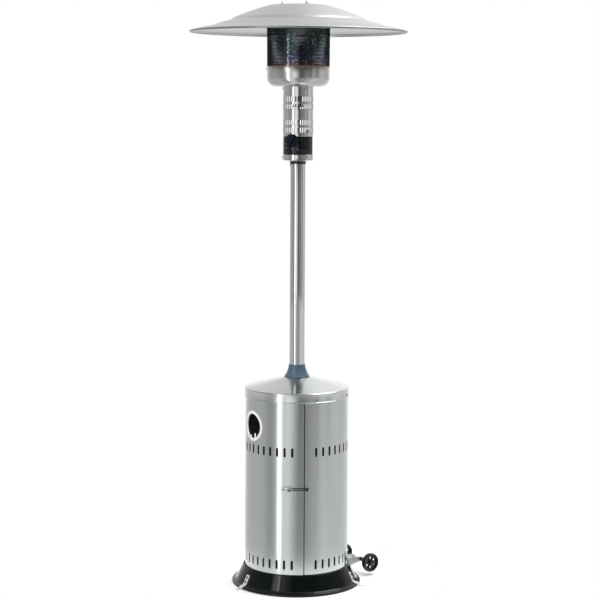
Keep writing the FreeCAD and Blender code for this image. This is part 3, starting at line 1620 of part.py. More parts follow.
def make_column():
    """The slotted column with its necked control section."""
    outer, sheet = s.column_radius, s.column_sheet
    low, top = s.column_bottom_height, s.column_top_height
    step, hem, hem_top = s.column_step, outer + s.column_hem_proud, low + s.column_hem_height
    neck_low, neck_top = s.panel_bottom_height, s.panel_top_height
    outline = [
        (outer - sheet, low), (hem, low), (hem, hem_top), (outer, hem_top + step),
        (outer, neck_low - step), (neck_radius, neck_low), (neck_radius, neck_top),
        (outer, neck_top + step), (outer, top), (outer - sheet, top),
        (outer - sheet, neck_top + step + sheet / 2), (neck_radius - sheet, neck_top + sheet / 2),
        (neck_radius - sheet, neck_low - sheet / 2), (outer - sheet, neck_low - step - sheet / 2)]
    body = revolved("column_turned", [outline])
    slots = [slot_outline(Size(0), level, s.column_vent_width, s.column_vent_height)
             for level in column_vent_heights()]
    cutters = [
        slot_ring("column_vent", slots, outer - s.drill_reach, s.drill_reach * 2, COLUMN_VENTS,
                  Size(360) / COLUMN_VENTS),
        spindle_hole("column_spindle_hole")]
    for height in column_screw_heights():
        for bearing in three_bearings:
            cutters.append(wall_hole("column_hole", bearing, height, outer,
                                     s.screw_radius + s.hole_clearance))
            head_screws.append(outward(screw("column_screw", s.sheet_screw_length), bearing,
                                       outer + s.seat_gap, height))
    publish(cut("column_cut", body, cutters), "burner_column")


def spindle_hole(name):
    """A cutter for the hole that lets the knob's spindle through."""
    return wall_hole(name, s.knob_bearing, s.knob_height, s.column_radius,
                     s.spindle_radius + s.spindle_hole_clearance)


def panel_inner():
    """Inner radius of the control panel."""
    return neck_radius + s.seat_gap


def make_panel():
    """The panel that wraps round the column's neck."""
    inner = panel_inner()
    panel = revolved("panel_turned", [box_outline(
        inner, s.panel_bottom_height + s.seat_gap, inner + s.panel_sheet,
        s.panel_top_height - s.seat_gap)], sweep=s.panel_end_bearing - s.panel_start_bearing)
    place(panel, turn=polar(s.panel_start_bearing))
    publish(cut("panel_cut", panel, [spindle_hole("panel_spindle_hole")]), "control_panel")


def knob_face():
    """Distance of the knob's back from the heater's axis."""
    return panel_inner() + s.panel_sheet + s.knob_travel + s.knob_gap


def spindle_start():
    """Distance of the spindle's inner end from the heater's axis."""
    return knob_face() + s.knob_grip / 2 - s.spindle_reach


def make_knob():
    """The knob with its raised grip, and the spindle that it turns."""
    radius, skirt, grip = s.knob_radius, s.knob_skirt, s.knob_grip
    bore = s.spindle_radius + s.running_clearance
    disc = revolved("knob_disc", [[
        (bore, 0), (radius - s.knob_foot_inset, 0), (radius, s.knob_foot_height),
        (radius - s.knob_taper, skirt - s.knob_edge_height), (radius - s.knob_edge_inset, skirt),
        (bore, skirt)]])
    end, half, chamfer = radius - s.knob_grip_inset, s.knob_grip_half_width, s.knob_grip_chamfer
    side = half - chamfer * 2
    ridge = raised("knob_ridge", [[
        (-end + chamfer, -half), (end - chamfer, -half), (end, -side), (end, side),
        (end - chamfer, half), (-end + chamfer, half), (-end, side), (-end, -side)]],
        grip, offset=skirt - s.knob_grip_sink)
    place(ridge, turn=s.knob_grip_lean)
    bore_depth = skirt + grip / 2
    knob = cut("knob_bored", fuse("knob_whole", [disc, ridge]),
               [cylinder("knob_bore", bore, bore_depth)])
    publish(outward(knob, s.knob_bearing, knob_face(), s.knob_height), "control_knob")
    spindle = cylinder("spindle_rod", s.spindle_radius,
                       s.spindle_reach + skirt - s.spindle_end_gap)
    publish(outward(spindle, s.knob_bearing, spindle_start(), s.knob_height), "knob_spindle")


def valve_port():
    """Length of the valve's outlet and inlet from its axis."""
    return s.valve_radius + s.valve_port_length


def make_valve():
    """The gas valve behind the knob, and the bracket that it sits on."""
    barrel = outward(cylinder("valve_barrel", s.valve_radius, s.valve_reach + s.valve_radius),
                     s.knob_bearing, -s.valve_radius, s.knob_height)
    outlet = place(cylinder("valve_outlet", s.valve_outlet_radius, valve_port()),
                   z=s.knob_height)
    inlet = upright(cylinder("valve_inlet", s.valve_inlet_radius, valve_port()),
                    s.knob_bearing, s.gas_pipe_offset, s.knob_height - valve_port())
    bore = radial_hole("valve_bore", s.knob_bearing, s.knob_height,
                       spindle_start() - s.knob_travel - s.spindle_room, s.column_radius,
                       s.spindle_radius + s.running_clearance)
    publish(cut("valve_bored", fuse("valve_body", [barrel, outlet, inlet]), [bore]), "gas_valve")

    floor = s.column_bottom_height + s.spigot_wall
    under = s.knob_height - s.valve_radius
    low, sheet = s.valve_bracket_reach, s.valve_bracket_sheet
    end = low + s.valve_bracket_foot
    plate = strip("valve_stand", [[
        (low, floor), (end, floor), (end, floor + sheet), (low + sheet, floor + sheet),
        (low + sheet, under), (low, under)]], s.valve_bracket_width)
    publish(bearing_turn(plate, s.knob_bearing), "valve_bracket")


def bored(name, radius, bore, length):
    """A tube standing on the origin."""
    return cut(f"{name}_bored", cylinder(f"{name}_outer", radius, length),
               [cylinder(f"{name}_bore", bore, length)])


def make_gas_supply():
    """The inlet nipple in the bottle bay and the gas pipe up the post."""
    under = s.mount_plate_height
    top = s.inlet_hex_height
    collar = cylinder("inlet_hex", s.inlet_hex_radius, top)
    nipple = place(cylinder("inlet_nipple", s.inlet_radius, s.inlet_length), z=-s.inlet_length)
    bore = place(cylinder("inlet_bore", s.inlet_bore_radius, s.inlet_length + top),
                 z=-s.inlet_length)
    inlet = cut("inlet_bored", fuse("inlet_whole", [collar, nipple]), [bore])
    publish(upright(inlet, s.knob_bearing, s.gas_pipe_offset, under - top), "gas_inlet")
    pipe = bored("pipe", s.gas_pipe_radius, s.gas_pipe_radius - s.gas_pipe_wall,
                 s.knob_height - valve_port() - under)
    publish(upright(pipe, s.knob_bearing, s.gas_pipe_offset, under), "gas_pipe")


def make_injector():
    """The bridge across the column with the injector and its feed pipe."""
    feed_low = s.knob_height + valve_port()
    low = s.injector_height
    arm = column_inner - s.seat_gap - s.inner_end_gap
    bar = block("bridge_bar", (-arm, -s.bridge_width / 2, low),
                (arm * 2, s.bridge_width, s.bridge_sheet))
    holder = place(cylinder("injector_holder", s.injector_holder_radius,
                            s.injector_holder_height), z=low)
    drill = place(cylinder("injector_drill", s.injector_drill_radius, s.drill_reach * 2),
                  z=low - s.drill_reach / 2)
    publish(cut("bridge_cut", fuse("bridge_whole", [bar, holder]), [drill]), "injector_bridge")
    feed = bored("feed", s.feed_radius, s.feed_radius - s.gas_pipe_wall, low - feed_low)
    nozzle = cut("nozzle_bored", cone("nozzle_body", s.injector_foot_radius,
                                      s.injector_tip_radius, s.injector_length),
                 [cylinder("nozzle_bore", s.injector_bore_radius, s.injector_length)])
    place(feed, z=feed_low)
    place(nozzle, z=low + s.injector_holder_height)
    publish(group("injector_set", [feed, nozzle]), "gas_injector")


def make_mixing_tube():
    """The tube with a wide mouth that leads gas and air from the injector to the burner."""
    outer, wall = s.mixing_tube_radius, s.mixing_tube_wall
    low = s.injector_height + s.mixing_tube_lift
    mouth = outer + s.mixing_mouth_flare
    throat = low + s.mixing_mouth_length
    floor = s.bowl_bottom_height + s.bowl_sheet
    flange = s.mixing_flange_radius
    top = s.emitter_bottom_height - s.mixing_tube_drop
    publish(revolved("mixing_turned", [[
        (mouth - wall, low), (mouth, low), (outer, throat), (outer, floor),
        (flange, floor), (flange, floor + wall), (outer, floor + wall), (outer, top),
        (outer - wall, top), (outer - wall, throat)]]), "mixing_tube")


def make_tilt_switch():
    """A tilt switch on a small shelf inside the column."""
    end = column_inner - s.seat_gap - s.inner_end_gap
    length, width, sheet = s.tilt_shelf_length, s.tilt_shelf_width, s.tilt_shelf_sheet
    shelf = block("tilt_shelf", (end - length, -width / 2, 0), (length, width, sheet))
    case = place(cylinder("tilt_case", s.tilt_case_radius, s.tilt_case_height),
                 x=end - length / 2, z=sheet)
    whole = fuse("tilt_whole", [shelf, case])
    publish(place(whole, z=s.panel_top_height + s.tilt_rise, turn=polar(s.tilt_bearing)),
            "tilt_switch")


# Burner head


def make_bowl():
    """The burner bowl with its rounded bottom corner."""
    sheet = s.bowl_sheet
    low, top = s.bowl_bottom_height, s.emitter_bottom_height
    outer, corner = s.bowl_radius, s.bowl_corner
    hole = s.mixing_tube_radius + s.hole_clearance
    bend = Size(math.sqrt(0.5)) * corner
    inner_bend = Size(math.sqrt(0.5)) * (corner - sheet)
    centre_r, centre_z = outer - corner, low + corner
    outline = [
        (hole, low),
        (centre_r, low, corner),
        (centre_r + bend, centre_z - bend, corner),
        (outer, centre_z),
        (outer, top),
        (outer - sheet, top),
        (outer - sheet, centre_z, -(corner - sheet)),
        (centre_r + inner_bend, centre_z - inner_bend, -(corner - sheet)),
        (centre_r, low + sheet),
        (hole, low + sheet)]
    body = revolved("bowl_turned", [outline])
    hole_radius = s.screw_radius + s.hole_clearance
    cutters = []
    for bearing in three_bearings:
        cutters.append(wall_hole("bowl_hole", bearing, bowl_screw_height(), outer, hole_radius))
        cutters.append(floor_hole("bowl_ring_hole", bearing, ring_bolt_reach(), low, hole_radius))
        head_screws.append(outward(screw("bowl_screw", s.bowl_screw_length), bearing,
                                   outer + s.seat_gap, bowl_screw_height()))
    publish(cut("bowl_cut", body, cutters), "burner_bowl")


def make_bowl_ring():
    """The flanged ring inside the column's top that the bowl is screwed to."""
    low = s.bowl_bottom_height
    rim, wall = column_inner - s.seat_gap, s.bowl_ring_sheet
    foot, bore = low - s.bowl_ring_height, rim - s.bowl_ring_width
    ring = revolved("bowl_ring_turned", [[
        (rim - wall, foot), (rim, foot), (rim, low), (bore, low), (bore, low - wall),
        (rim - wall, low - wall)]])
    hole_radius = s.screw_radius + s.hole_clearance
    grip = s.bowl_sheet + wall
    cutters = []
    for bearing in three_bearings:
        cutters.append(wall_hole("ring_hole", bearing, column_screw_heights()[1], rim,
                                 hole_radius))
        cutters.append(floor_hole("ring_bolt_hole", bearing, ring_bolt_reach(), low, hole_radius))
        item = screw("ring_screw", grip + s.screw_head_height + s.bolt_spare, nut=grip)
        frame_bolts.append(upright(item, bearing, ring_bolt_reach(), low + s.bowl_sheet))
    publish(cut("bowl_ring_cut", ring, cutters), "bowl_ring")


def ring_bolt_reach():
    """Reach of the screws that join the bowl to its ring."""
    return column_inner - s.seat_gap - s.bowl_ring_bolt_inset


def bowl_screw_height():
    """Height of the screws round the bowl's rim."""
    return s.emitter_bottom_height - s.bowl_screw_drop


def burner_seat():
    """Height of the burner plate's upper face."""
    return s.emitter_bottom_height - s.burner_plate_drop + s.burner_plate_sheet


def make_burner():
    """The burner plate in the bowl and the domed cap on it."""
    inner = s.bowl_radius - s.bowl_sheet - s.seat_gap
    sheet, seat = s.burner_plate_sheet, burner_seat()
    level = seat - sheet
    rim_top = level + s.burner_plate_rim
    hole = s.mixing_tube_radius - s.mixing_tube_wall
    plate = revolved("burner_plate_turned", [[
        (hole, level), (inner, level), (inner, rim_top), (inner - sheet, rim_top),
        (inner - sheet, seat), (hole, seat)]])
    cutters = [wall_hole("plate_hole", bearing, bowl_screw_height(), inner,
                         s.screw_radius + s.hole_clearance)
               for bearing in three_bearings]
    publish(cut("burner_plate_cut", plate, cutters), "burner_plate")
    radius, wall = s.burner_cap_radius, s.burner_cap_sheet
    shoulder = seat + s.burner_cap_height
    crown = shoulder + s.burner_cap_crown
    publish(revolved("burner_cap_turned", [[
        (radius, seat), (radius, shoulder), (0, crown), (0, crown - wall),
        (radius - wall, shoulder - wall), (radius - wall, seat)]]), "burner_cap")


def make_pilot():
    """Pilot burner, ignition electrode and flame probe beside the burner cap."""
    reach = s.burner_cap_radius + s.pilot_gap
    angle = polar(s.pilot_bearing)
    rods = []
    for name, side, height, radius in (
            ("pilot_burner", -1, s.pilot_height, s.pilot_radius),
            ("igniter", 0, s.igniter_height, s.igniter_radius),
            ("flame_probe", 1, s.probe_height, s.probe_radius)):
        tip = place(cylinder(f"{name}_tip", radius / 2, s.electrode_tip), z=height)
        whole = fuse(f"{name}_whole", [cylinder(f"{name}_rod", radius, height), tip])
        shift = s.pilot_spacing * side
        rods.append(place(whole, reach * cos_of(angle) - shift * sin_of(angle),
                          reach * sin_of(angle) + shift * cos_of(angle), burner_seat()))
    publish(rods[0], "pilot_burner")
    publish(group("electrode_set", rods[1:]), "pilot_electrodes")


def make_emitter():
    """The perforated emitter cylinder with its closed top."""
    low, top = s.emitter_bottom_height, emitter_top
    lower, upper, sheet = s.emitter_bottom_radius, s.emitter_top_radius, s.emitter_sheet
    seat = low + s.seat_gap
    foot, bead = lower - s.emitter_foot_width, lower + s.emitter_bead_proud
    bead_top = seat + s.emitter_bead_height
    wall_low = bead_top + s.emitter_bead_fall
    publish(revolved("emitter_turned", [[
        (foot, seat), (bead, seat), (bead, bead_top), (lower, wall_low), (upper, top),
        (upper - sheet, top), (lower - sheet, wall_low), (foot, bead_top)]]), "emitter_screen")
    disc = revolved("top_plate_turned", [box_outline(0, top, upper, top + s.top_plate_sheet)])
    cutters = [floor_hole("top_plate_hole", bearing, s.stud_circle, top,
                          s.stud_radius + s.hole_clearance)
               for bearing in stud_bearings()]
    publish(cut("top_plate_cut", disc, cutters), "emitter_top_plate")


def stud_bearings():
    """Bearings of the three reflector studs."""
    return [s.stud_first_bearing + Size(360) / STUDS * index for index in range(STUDS)]


# Reflector


def make_reflector():
    """The spun stepped reflector with its rolled rim."""
    sheet, bead = s.reflector_sheet, s.rim_bead_radius
    top, rim = reflector_top, reflector_rim
    edge = s.reflector_radius - bead
    section = [(s.reflector_radius * reach, top - s.reflector_depth * fall)
               for reach, fall in REFLECTOR_SECTION] + [(edge, rim + bead)]
    outer = [(Size(0), top)] + section
    inner = [(Size(0), top - sheet)]
    inner += [(radius - sheet * 0.6, height - sheet) for radius, height in section]
    rolled = [
        (edge, rim + bead, -bead),
        (s.reflector_radius, rim, -bead),
        (edge, rim - bead),
        (edge - sheet, rim - bead)]
    body = revolved("reflector_spun", [outer[:-1] + rolled + inner[::-1]])
    cutters = [floor_hole("reflector_hole", bearing, s.stud_circle, top,
                          s.stud_radius + s.hole_clearance)
               for bearing in stud_bearings()]
    publish(cut("reflector_cut", body, cutters), "reflector")


def make_reflector_fixings():
    """Studs from the emitter's top plate with spacers under and nuts over the reflector."""
    low = emitter_top + s.top_plate_sheet
    room = reflector_top - s.reflector_sheet - low
    head_low = -s.top_plate_sheet - s.stud_head_height
    rod_low = head_low + s.stud_head_height / 2
    studs, spacers, nuts = [], [], []
    for index, bearing in enumerate(stud_bearings()):
        rod = place(cylinder(f"stud_rod_{index}", s.stud_radius, room + s.stud_spare - rod_low),
                    z=rod_low)
        head = place(cylinder(f"stud_head_{index}", s.stud_head_radius, s.stud_head_height),
                     z=head_low)
        studs.append(upright(fuse(f"stud_{index}", [rod, head]), bearing, s.stud_circle, low))
        spacers.append(upright(bored(f"spacer_{index}", s.spacer_radius,
                                     s.stud_radius + s.seat_gap, room),
                               bearing, s.stud_circle, low))
        nuts.append(upright(bored(f"nut_{index}", s.stud_nut_radius,
                                  s.stud_radius + s.running_clearance, s.stud_nut_height),
                            bearing, s.stud_circle, reflector_top))
    publish(group("stud_set", studs + nuts), "reflector_studs")
    publish(group("spacer_set", spacers), "reflector_spacers")


def build():
    """Makes every sub-part."""
    make_base_pan()
    make_anchor_brackets()
    make_anchor_screws()
    make_wheel_bracket()
    make_wheels()
    make_housing_shell()
    make_housing_door()
    make_hand_hole_trim()
    make_hinges()
    make_latch_base()
    make_latch_lever()
    make_latch_rivets()
    make_latch_bail()
    make_latch_hook()
    make_latch_keeper()
    make_lid()
    make_legs()
    make_post_mount()
    make_post()
    make_column_foot()
    make_column()
    make_panel()
    make_knob()
    make_valve()
    make_gas_supply()
    make_injector()
    make_mixing_tube()
    make_tilt_switch()
    make_bowl()
    make_bowl_ring()
    make_burner()
    make_pilot()
    make_emitter()
    make_reflector()
    make_reflector_fixings()
    publish(group("frame_bolt_set", frame_bolts), "frame_bolts")
    publish(group("head_screw_set", head_screws), "head_screws")


def check():
    """Stops if anything in the document failed or a sub-part's shape is unusable."""
    for item in doc.Objects:
        if "Invalid" in item.State or "Error" in item.State:
            raise RuntimeError(f"{item.Name} failed: {item.State}")
    for item in nodes:
        if item.Shape.isNull() or not item.Shape.isValid() or not item.Shape.Solids:
            raise RuntimeError(f"{item.Label} has no valid solid")


def export():
    """Writes one file for each sub-part."""
    os.makedirs("parts", exist_ok=True)
    for item in nodes:
        item.Shape.exportStep(f"parts/{item.Label}.step")
        box = item.Shape.BoundBox
        print(f"{item.Label}: {len(item.Shape.Solids)} solids, volume {item.Shape.Volume:.0f}, "
              f"X {box.XMin:.1f} to {box.XMax:.1f}, Y {box.YMin:.1f} to {box.YMax:.1f}, "
              f"Z {box.ZMin:.1f} to {box.ZMax:.1f}")


build()
doc.recompute()
check()
export()
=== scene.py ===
"""Gas patio heater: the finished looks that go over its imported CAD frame.

Sizes are in millimetres until they reach a mesh, which is in metres in the frame's own axes.
Bearings are in degrees, counted from the front (-Y) towards the right (+X).
"""

import json
import logging
import math
from collections.abc import Callable, Iterable, Sequence
from dataclasses import dataclass
from enum import Enum
from functools import partial
from typing import Any

import bmesh
import bpy
from mathutils import Matrix, Vector

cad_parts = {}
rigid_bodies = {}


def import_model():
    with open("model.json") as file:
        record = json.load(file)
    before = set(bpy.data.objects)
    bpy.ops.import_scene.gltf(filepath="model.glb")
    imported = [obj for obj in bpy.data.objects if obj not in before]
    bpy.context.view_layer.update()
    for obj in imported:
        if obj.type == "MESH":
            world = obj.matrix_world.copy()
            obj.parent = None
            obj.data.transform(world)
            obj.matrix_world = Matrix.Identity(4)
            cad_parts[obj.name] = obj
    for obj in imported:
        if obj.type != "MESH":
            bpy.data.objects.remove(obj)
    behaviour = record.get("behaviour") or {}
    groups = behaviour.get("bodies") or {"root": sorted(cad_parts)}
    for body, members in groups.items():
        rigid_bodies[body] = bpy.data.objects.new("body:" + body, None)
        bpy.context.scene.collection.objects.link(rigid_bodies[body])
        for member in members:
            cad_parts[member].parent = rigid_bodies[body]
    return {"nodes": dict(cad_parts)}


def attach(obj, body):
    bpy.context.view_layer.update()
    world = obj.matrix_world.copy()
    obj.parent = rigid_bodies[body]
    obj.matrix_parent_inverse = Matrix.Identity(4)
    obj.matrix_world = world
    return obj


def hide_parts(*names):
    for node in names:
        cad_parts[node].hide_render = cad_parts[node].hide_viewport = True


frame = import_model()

LOG = logging.getLogger("patio_heater")
MM = 0.001
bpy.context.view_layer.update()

Line = Sequence[tuple[float, ...]]
Mesh = bmesh.types.BMesh
Node = bpy.types.Node
Piece = bpy.types.Object
Socket = bpy.types.NodeSocket
Tree = bpy.types.NodeTree


# Small helpers


def linear(colour: str) -> tuple[float, ...]:
    """Turns an sRGB hex colour into linear light.

    Args:
        colour: Six hex digits with a leading hash.

    Returns:
        Linear red, green and blue, and an alpha of 1.
    """
    parts = [int(colour[i : i + 2], 16) / 255 for i in (1, 3, 5)]
    return *(c / 12.92 if c <= 0.04045 else ((c + 0.055) / 1.055) ** 2.4 for c in parts), 1.0


def add_node(tree: Tree, kind: str, values: dict | None = None) -> Node:
    """Adds a node, sets its properties and inputs, and links what feeds it.

    Args:
        tree: The node tree that gets the node.
        kind: The node's type name.
        values: By property, input name or input number: what it is set to, or a socket to link.

    Returns:
        The new node.
    """
    node = tree.nodes.new(kind)
    for key, value in (values or {}).items():
        if isinstance(value, Socket):
            tree.links.new(value, node.inputs[key])
        elif isinstance(key, str) and hasattr(node, key):
            setattr(node, key, value)
        else:
            node.inputs[key].default_value = value
    return node


def noise(tree: Tree, scale: float, detail: float, place: Socket) -> Socket:
    """Noise from 0 to 1 over a place, with its scale in waves to the metre."""
    values = {"Scale": scale, "Detail": detail, "Vector": place}
    return add_node(tree, "ShaderNodeTexNoise", values).outputs[0]


def spread(
    tree: Tree, value: Socket, first: float, last: float, low: float = 0.0, high: float = 1.0,
    curve: str = "LINEAR",
) -> Socket:
    """Maps a value from the range of low to high to the range of first to last."""
    return add_node(tree, "ShaderNodeMapRange", {
        "interpolation_type": curve, 0: value, 1: low, 2: high, 3: first, 4: last}).outputs[0]


def blend(tree: Tree, share: Socket, first: Any, second: Any) -> Socket:
    """Mixes two colours, each given as a value or a socket."""
    return add_node(tree, "ShaderNodeMix", {
        "data_type": "RGBA", 0: share, 6: first, 7: second}).outputs[2]


def step(tree: Tree, operation: str, *values: Any) -> Socket:
    """One arithmetic step on numbers or sockets."""
    return add_node(tree, "ShaderNodeMath", {
        "operation": operation, **dict(enumerate(values))}).outputs[0]


def ramp(tree: Tree, share: Socket, stops: Sequence[tuple[float, tuple]]) -> Socket:
    """Adds a colour ramp.

    Args:
        tree: The node tree.
        share: What is looked up, from 0 to 1.
        stops: Positions with their linear colours.

    Returns:
        The colour.
    """
    node = add_node(tree, "ShaderNodeValToRGB", {0: share})
    elements = node.color_ramp.elements
    while len(elements) < len(stops):
        elements.new(0.5)
    for element, (position, colour) in zip(elements, stops):
        element.position = position
        element.color = colour
    return node.outputs[0]


def surface(
    tree: Tree, shader: Node, rough: Socket, height: Socket, strength: float, depth: float
) -> None:
    """Feeds a shader its roughness and its relief.

    Args:
        tree: The material's tree.
        shader: Its Principled shader.
        rough: The roughness.
        height: The relief's height, from 0 to 1.
        strength: How much of the relief shows.
        depth: Its real depth in metres.
    """
    relief = add_node(tree, "ShaderNodeBump", {
        "Strength": strength, "Distance": depth, "Height": height})
    tree.links.new(rough, shader.inputs["Roughness"])
    tree.links.new(relief.outputs[0], shader.inputs["Normal"])


def at(bearing: float, radius: float, height: float) -> Vector:
    """A point in millimetres from its bearing, radius and height."""
    angle = math.radians(bearing)
    return Vector((radius * math.sin(angle), -radius * math.cos(angle), height))


def outwards(bearing: float) -> Vector:
    """The unit vector that points away from the axis at a bearing."""
    return at(bearing, 1.0, 0.0)


def facing(bearing: float) -> Matrix:
    """Turns +Z outwards at a bearing, with +Y up."""
    return outwards(bearing).to_track_quat("Z", "Y").to_matrix().to_4x4()


# Finishes


class Lay(Enum):
    """Which way the lines of a brushed or spun surface run."""

    UPRIGHT = (700.0, 700.0, 5.0)
    ROUND = (6.0, 6.0, 700.0)
    NONE = (60.0, 60.0, 60.0)


@dataclass(frozen=True)
class Finish:
    """A surface finish: what the real material is and what that gives the eye.

    The grain is its size in millimetres, its relief and how far it changes the gloss.
    """

    name: str
    colour: str
    roughness: float
    metallic: float = 0.0
    specular: float = 0.5
    grain: tuple[float, float, float] = (0.8, 0.05, 0.05)

    def material(self) -> bpy.types.Material:
        """The finish as a material, made once and then shared.

        Returns:
            The material.
        """
        found = bpy.data.materials.get(self.name)
        if found is None:
            found = bpy.data.materials.new(self.name)
            found.use_nodes = True
            tree = found.node_tree
            tree.nodes.clear()
            shader = add_node(tree, "ShaderNodeBsdfPrincipled", {
                "Base Color": linear(self.colour), "Roughness": self.roughness,
                "Metallic": self.metallic, "Specular IOR Level": self.specular})
            add_node(tree, "ShaderNodeOutputMaterial", {"Surface": shader.outputs[0]})
            self.dress(tree, shader)
        return found

    def dress(self, tree: Tree, shader: Node) -> None:
        """Adds the finish's own pattern; the plain finish has an even grain.

        Args:
            tree: The material's tree.
            shader: Its Principled shader.
        """
        size, bump, sheen = self.grain
        spots = noise(tree, 1000 / size, 3.0, self.place(tree))
        rough = self.around(tree, spots, sheen)
        surface(tree, shader, rough, spots, bump, size * MM * 0.1)

    def place(self, tree: Tree) -> Socket:
        """Object coordinates in metres, in the frame's own axes."""
        return add_node(tree, "ShaderNodeTexCoord").outputs["Object"]

    def around(
        self, tree: Tree, value: Socket, reach: float, low: float = 0.0, high: float = 1.0
    ) -> Socket:
        """The roughness, moved up and down by a pattern between low and high."""
        return spread(tree, value, self.roughness - reach, self.roughness + reach, low, high)


@dataclass(frozen=True)
class BrushedSteel(Finish):
    """Cold-rolled stainless sheet, brushed and bright: soft streaks along the brushing.

    Real brush lines are about 0.1 mm apart; these are drawn 1.4 mm apart so that they show.
    """

    metallic: float = 1.0
    smear: float = 0.5
    lay: Lay = Lay.UPRIGHT
    streak: float = 0.05
    cloud_share: float = 0.35
    line_depth: float = 0.00005
    fade: float = 0.05
    heated: tuple[float, float] | None = None
    heat: float = 0.55
    tint: str = "#9A7A5C"

    def dress(self, tree: Tree, shader: Node) -> None:
        """Adds brush streaks, a slow cloudiness and, near the flame, a heat tint.

        Args:
            tree: The material's tree.
            shader: Its Principled shader.
        """
        place = self.place(tree)
        stretched = add_node(tree, "ShaderNodeVectorMath", {
            "operation": "MULTIPLY", 0: place, 1: self.lay.value}).outputs[0]
        along = add_node(tree, "ShaderNodeTangent", {"direction_type": "RADIAL", "axis": "Z"})
        tree.links.new(along.outputs[0], shader.inputs["Tangent"])
        shader.inputs["Anisotropic"].default_value = self.smear
        shader.inputs["Anisotropic Rotation"].default_value = 0.25
        lines = noise(tree, 1.0, 4.0, stretched)
        both = step(tree, "MULTIPLY_ADD", noise(tree, 7.0, 2.0, place), self.cloud_share, lines)
        rough = self.around(tree, both, self.streak, 0.3, 1.0)
        surface(tree, shader, rough, lines, 0.06, self.line_depth)
        if self.heated:
            split = add_node(tree, "ShaderNodeSeparateXYZ", {0: place})
            share = spread(tree, split.outputs[2], 0.0, self.heat, *self.heated, "SMOOTHSTEP")
        else:
            share = spread(tree, lines, 0.0, self.fade, 0.35, 0.8)
        shade = blend(tree, share, linear(self.colour), linear(self.tint))
        tree.links.new(shade, shader.inputs["Base Color"])


@dataclass(frozen=True)
class SpunAluminium(Finish):
    """Aluminium spun on a former and left satin: fine rings round the axis.

    Real spinning rings are under 0.5 mm apart; these are drawn about 3 mm apart to show.
    """

    metallic: float = 1.0
    ring: float = 3.0
    patch_share: float = 0.4
    ring_depth: float = 0.0001

    def dress(self, tree: Tree, shader: Node) -> None:
        """Adds rings round the axis.

        Args:
            tree: The material's tree.
            shader: Its Principled shader.
        """
        place = self.place(tree)
        split = add_node(tree, "ShaderNodeSeparateXYZ", {0: place}).outputs
        flat = add_node(tree, "ShaderNodeCombineXYZ", {0: split[0], 1: split[1]})
        reach = add_node(tree, "ShaderNodeVectorMath", {
            "operation": "LENGTH", 0: flat.outputs[0]}).outputs["Value"]
        rings = add_node(tree, "ShaderNodeTexNoise", {
            "noise_dimensions": "1D", "Scale": 1.0, "Detail": 3.0,
            "W": step(tree, "MULTIPLY", reach, 1000 / self.ring)}).outputs[0]
        both = step(tree, "MULTIPLY_ADD", noise(tree, 9.0, 2.0, place), self.patch_share, rings)
        rough = self.around(tree, both, 0.06, 0.3, 1.1)
        surface(tree, shader, rough, rings, 0.10, self.ring_depth)


@dataclass(frozen=True)
class HeatTintedSteel(Finish):
    """Perforated steel that the flame has coloured: straw and plum at the cool lower edge,
    then blue, then nearly black oxide higher up."""

    metallic: float = 1.0
    low: float = 1.964
    high: float = 2.128
    skin: float = 0.12
    edge: str = "#5C6464"
    fleck: str = "#8E9894"
    oxides: tuple[tuple[float, str], ...] = (
        (0.0, "#665250"), (0.05, "#533A3E"), (0.10, "#383040"), (0.20, "#33334E"),
        (0.34, "#2B373B"), (0.75, "#253234"), (1.0, "#192224"),
    )

    def dress(self, tree: Tree, shader: Node) -> None:
        """Adds oxide colours by height, broken up by slow noise, and flecks, under a clear skin.

        Args:
            tree: The material's tree.
            shader: Its Principled shader.
        """
        shader.inputs["Coat Weight"].default_value = self.skin
        shader.inputs["Coat Roughness"].default_value = 0.06
        shader.inputs["Specular Tint"].default_value = linear(self.edge)
        place = self.place(tree)
        split = add_node(tree, "ShaderNodeSeparateXYZ", {0: place})
        # Patches of about 60 mm, and flecks of about 5 mm that gather in zones of about 40 mm
        patches = noise(tree, 16.0, 4.0, place)
        share = spread(tree, split.outputs[2], 0.0, 1.0, self.low, self.high)
        level = step(tree, "ADD", share, spread(tree, patches, -0.09, 0.09, 0.3, 0.7))
        oxide = ramp(tree, level, [(spot, linear(colour)) for spot, colour in self.oxides])
        flecks = spread(tree, noise(tree, 190.0, 2.0, place), 0.0, 1.0, 0.55, 0.66)
        where = spread(tree, noise(tree, 26.0, 2.0, place), 0.2, 0.95, 0.34, 0.6)
        amount = step(tree, "MULTIPLY", flecks, where)
        tree.links.new(blend(tree, amount, oxide, linear(self.fleck)), shader.inputs["Base Color"])
        tree.links.new(self.around(tree, patches, 0.06, 0.3, 0.7), shader.inputs["Roughness"])


@dataclass(frozen=True)
class ZincPlate(Finish):
    """Bright zinc plating on folded steel: silvery, with a faint crystalline mottle."""

    metallic: float = 0.5
    flake: str = "#CDD1D3"

    def dress(self, tree: Tree, shader: Node) -> None:
        """Adds mottle of about 3 mm in colour and gloss.

        Args:
            tree: The material's tree.
            shader: Its Principled shader.
        """
        flakes = add_node(tree, "ShaderNodeTexVoronoi", {
            "Scale": 330.0, "Randomness": 1.0, "Vector": self.place(tree)}).outputs["Color"]
        shade = blend(tree, flakes, linear(self.colour), linear(self.flake))
        rough = spread(tree, flakes, self.roughness - 0.05, self.roughness + 0.08)
        tree.links.new(shade, shader.inputs["Base Color"])
        tree.links.new(rough, shader.inputs["Roughness"])


# Housing sheet: a cool grey with one soft upright glint, smeared round the wall.
BRUSHED = BrushedSteel("stainless_sheet_brushed_round", "#C3C8C5", 0.2, lay=Lay.ROUND)
# Lid: paler, with glints that fan out over the cone.
LID_STEEL = BrushedSteel("stainless_lid_spun", "#D0D4D2", 0.22, lay=Lay.ROUND, smear=0.7)
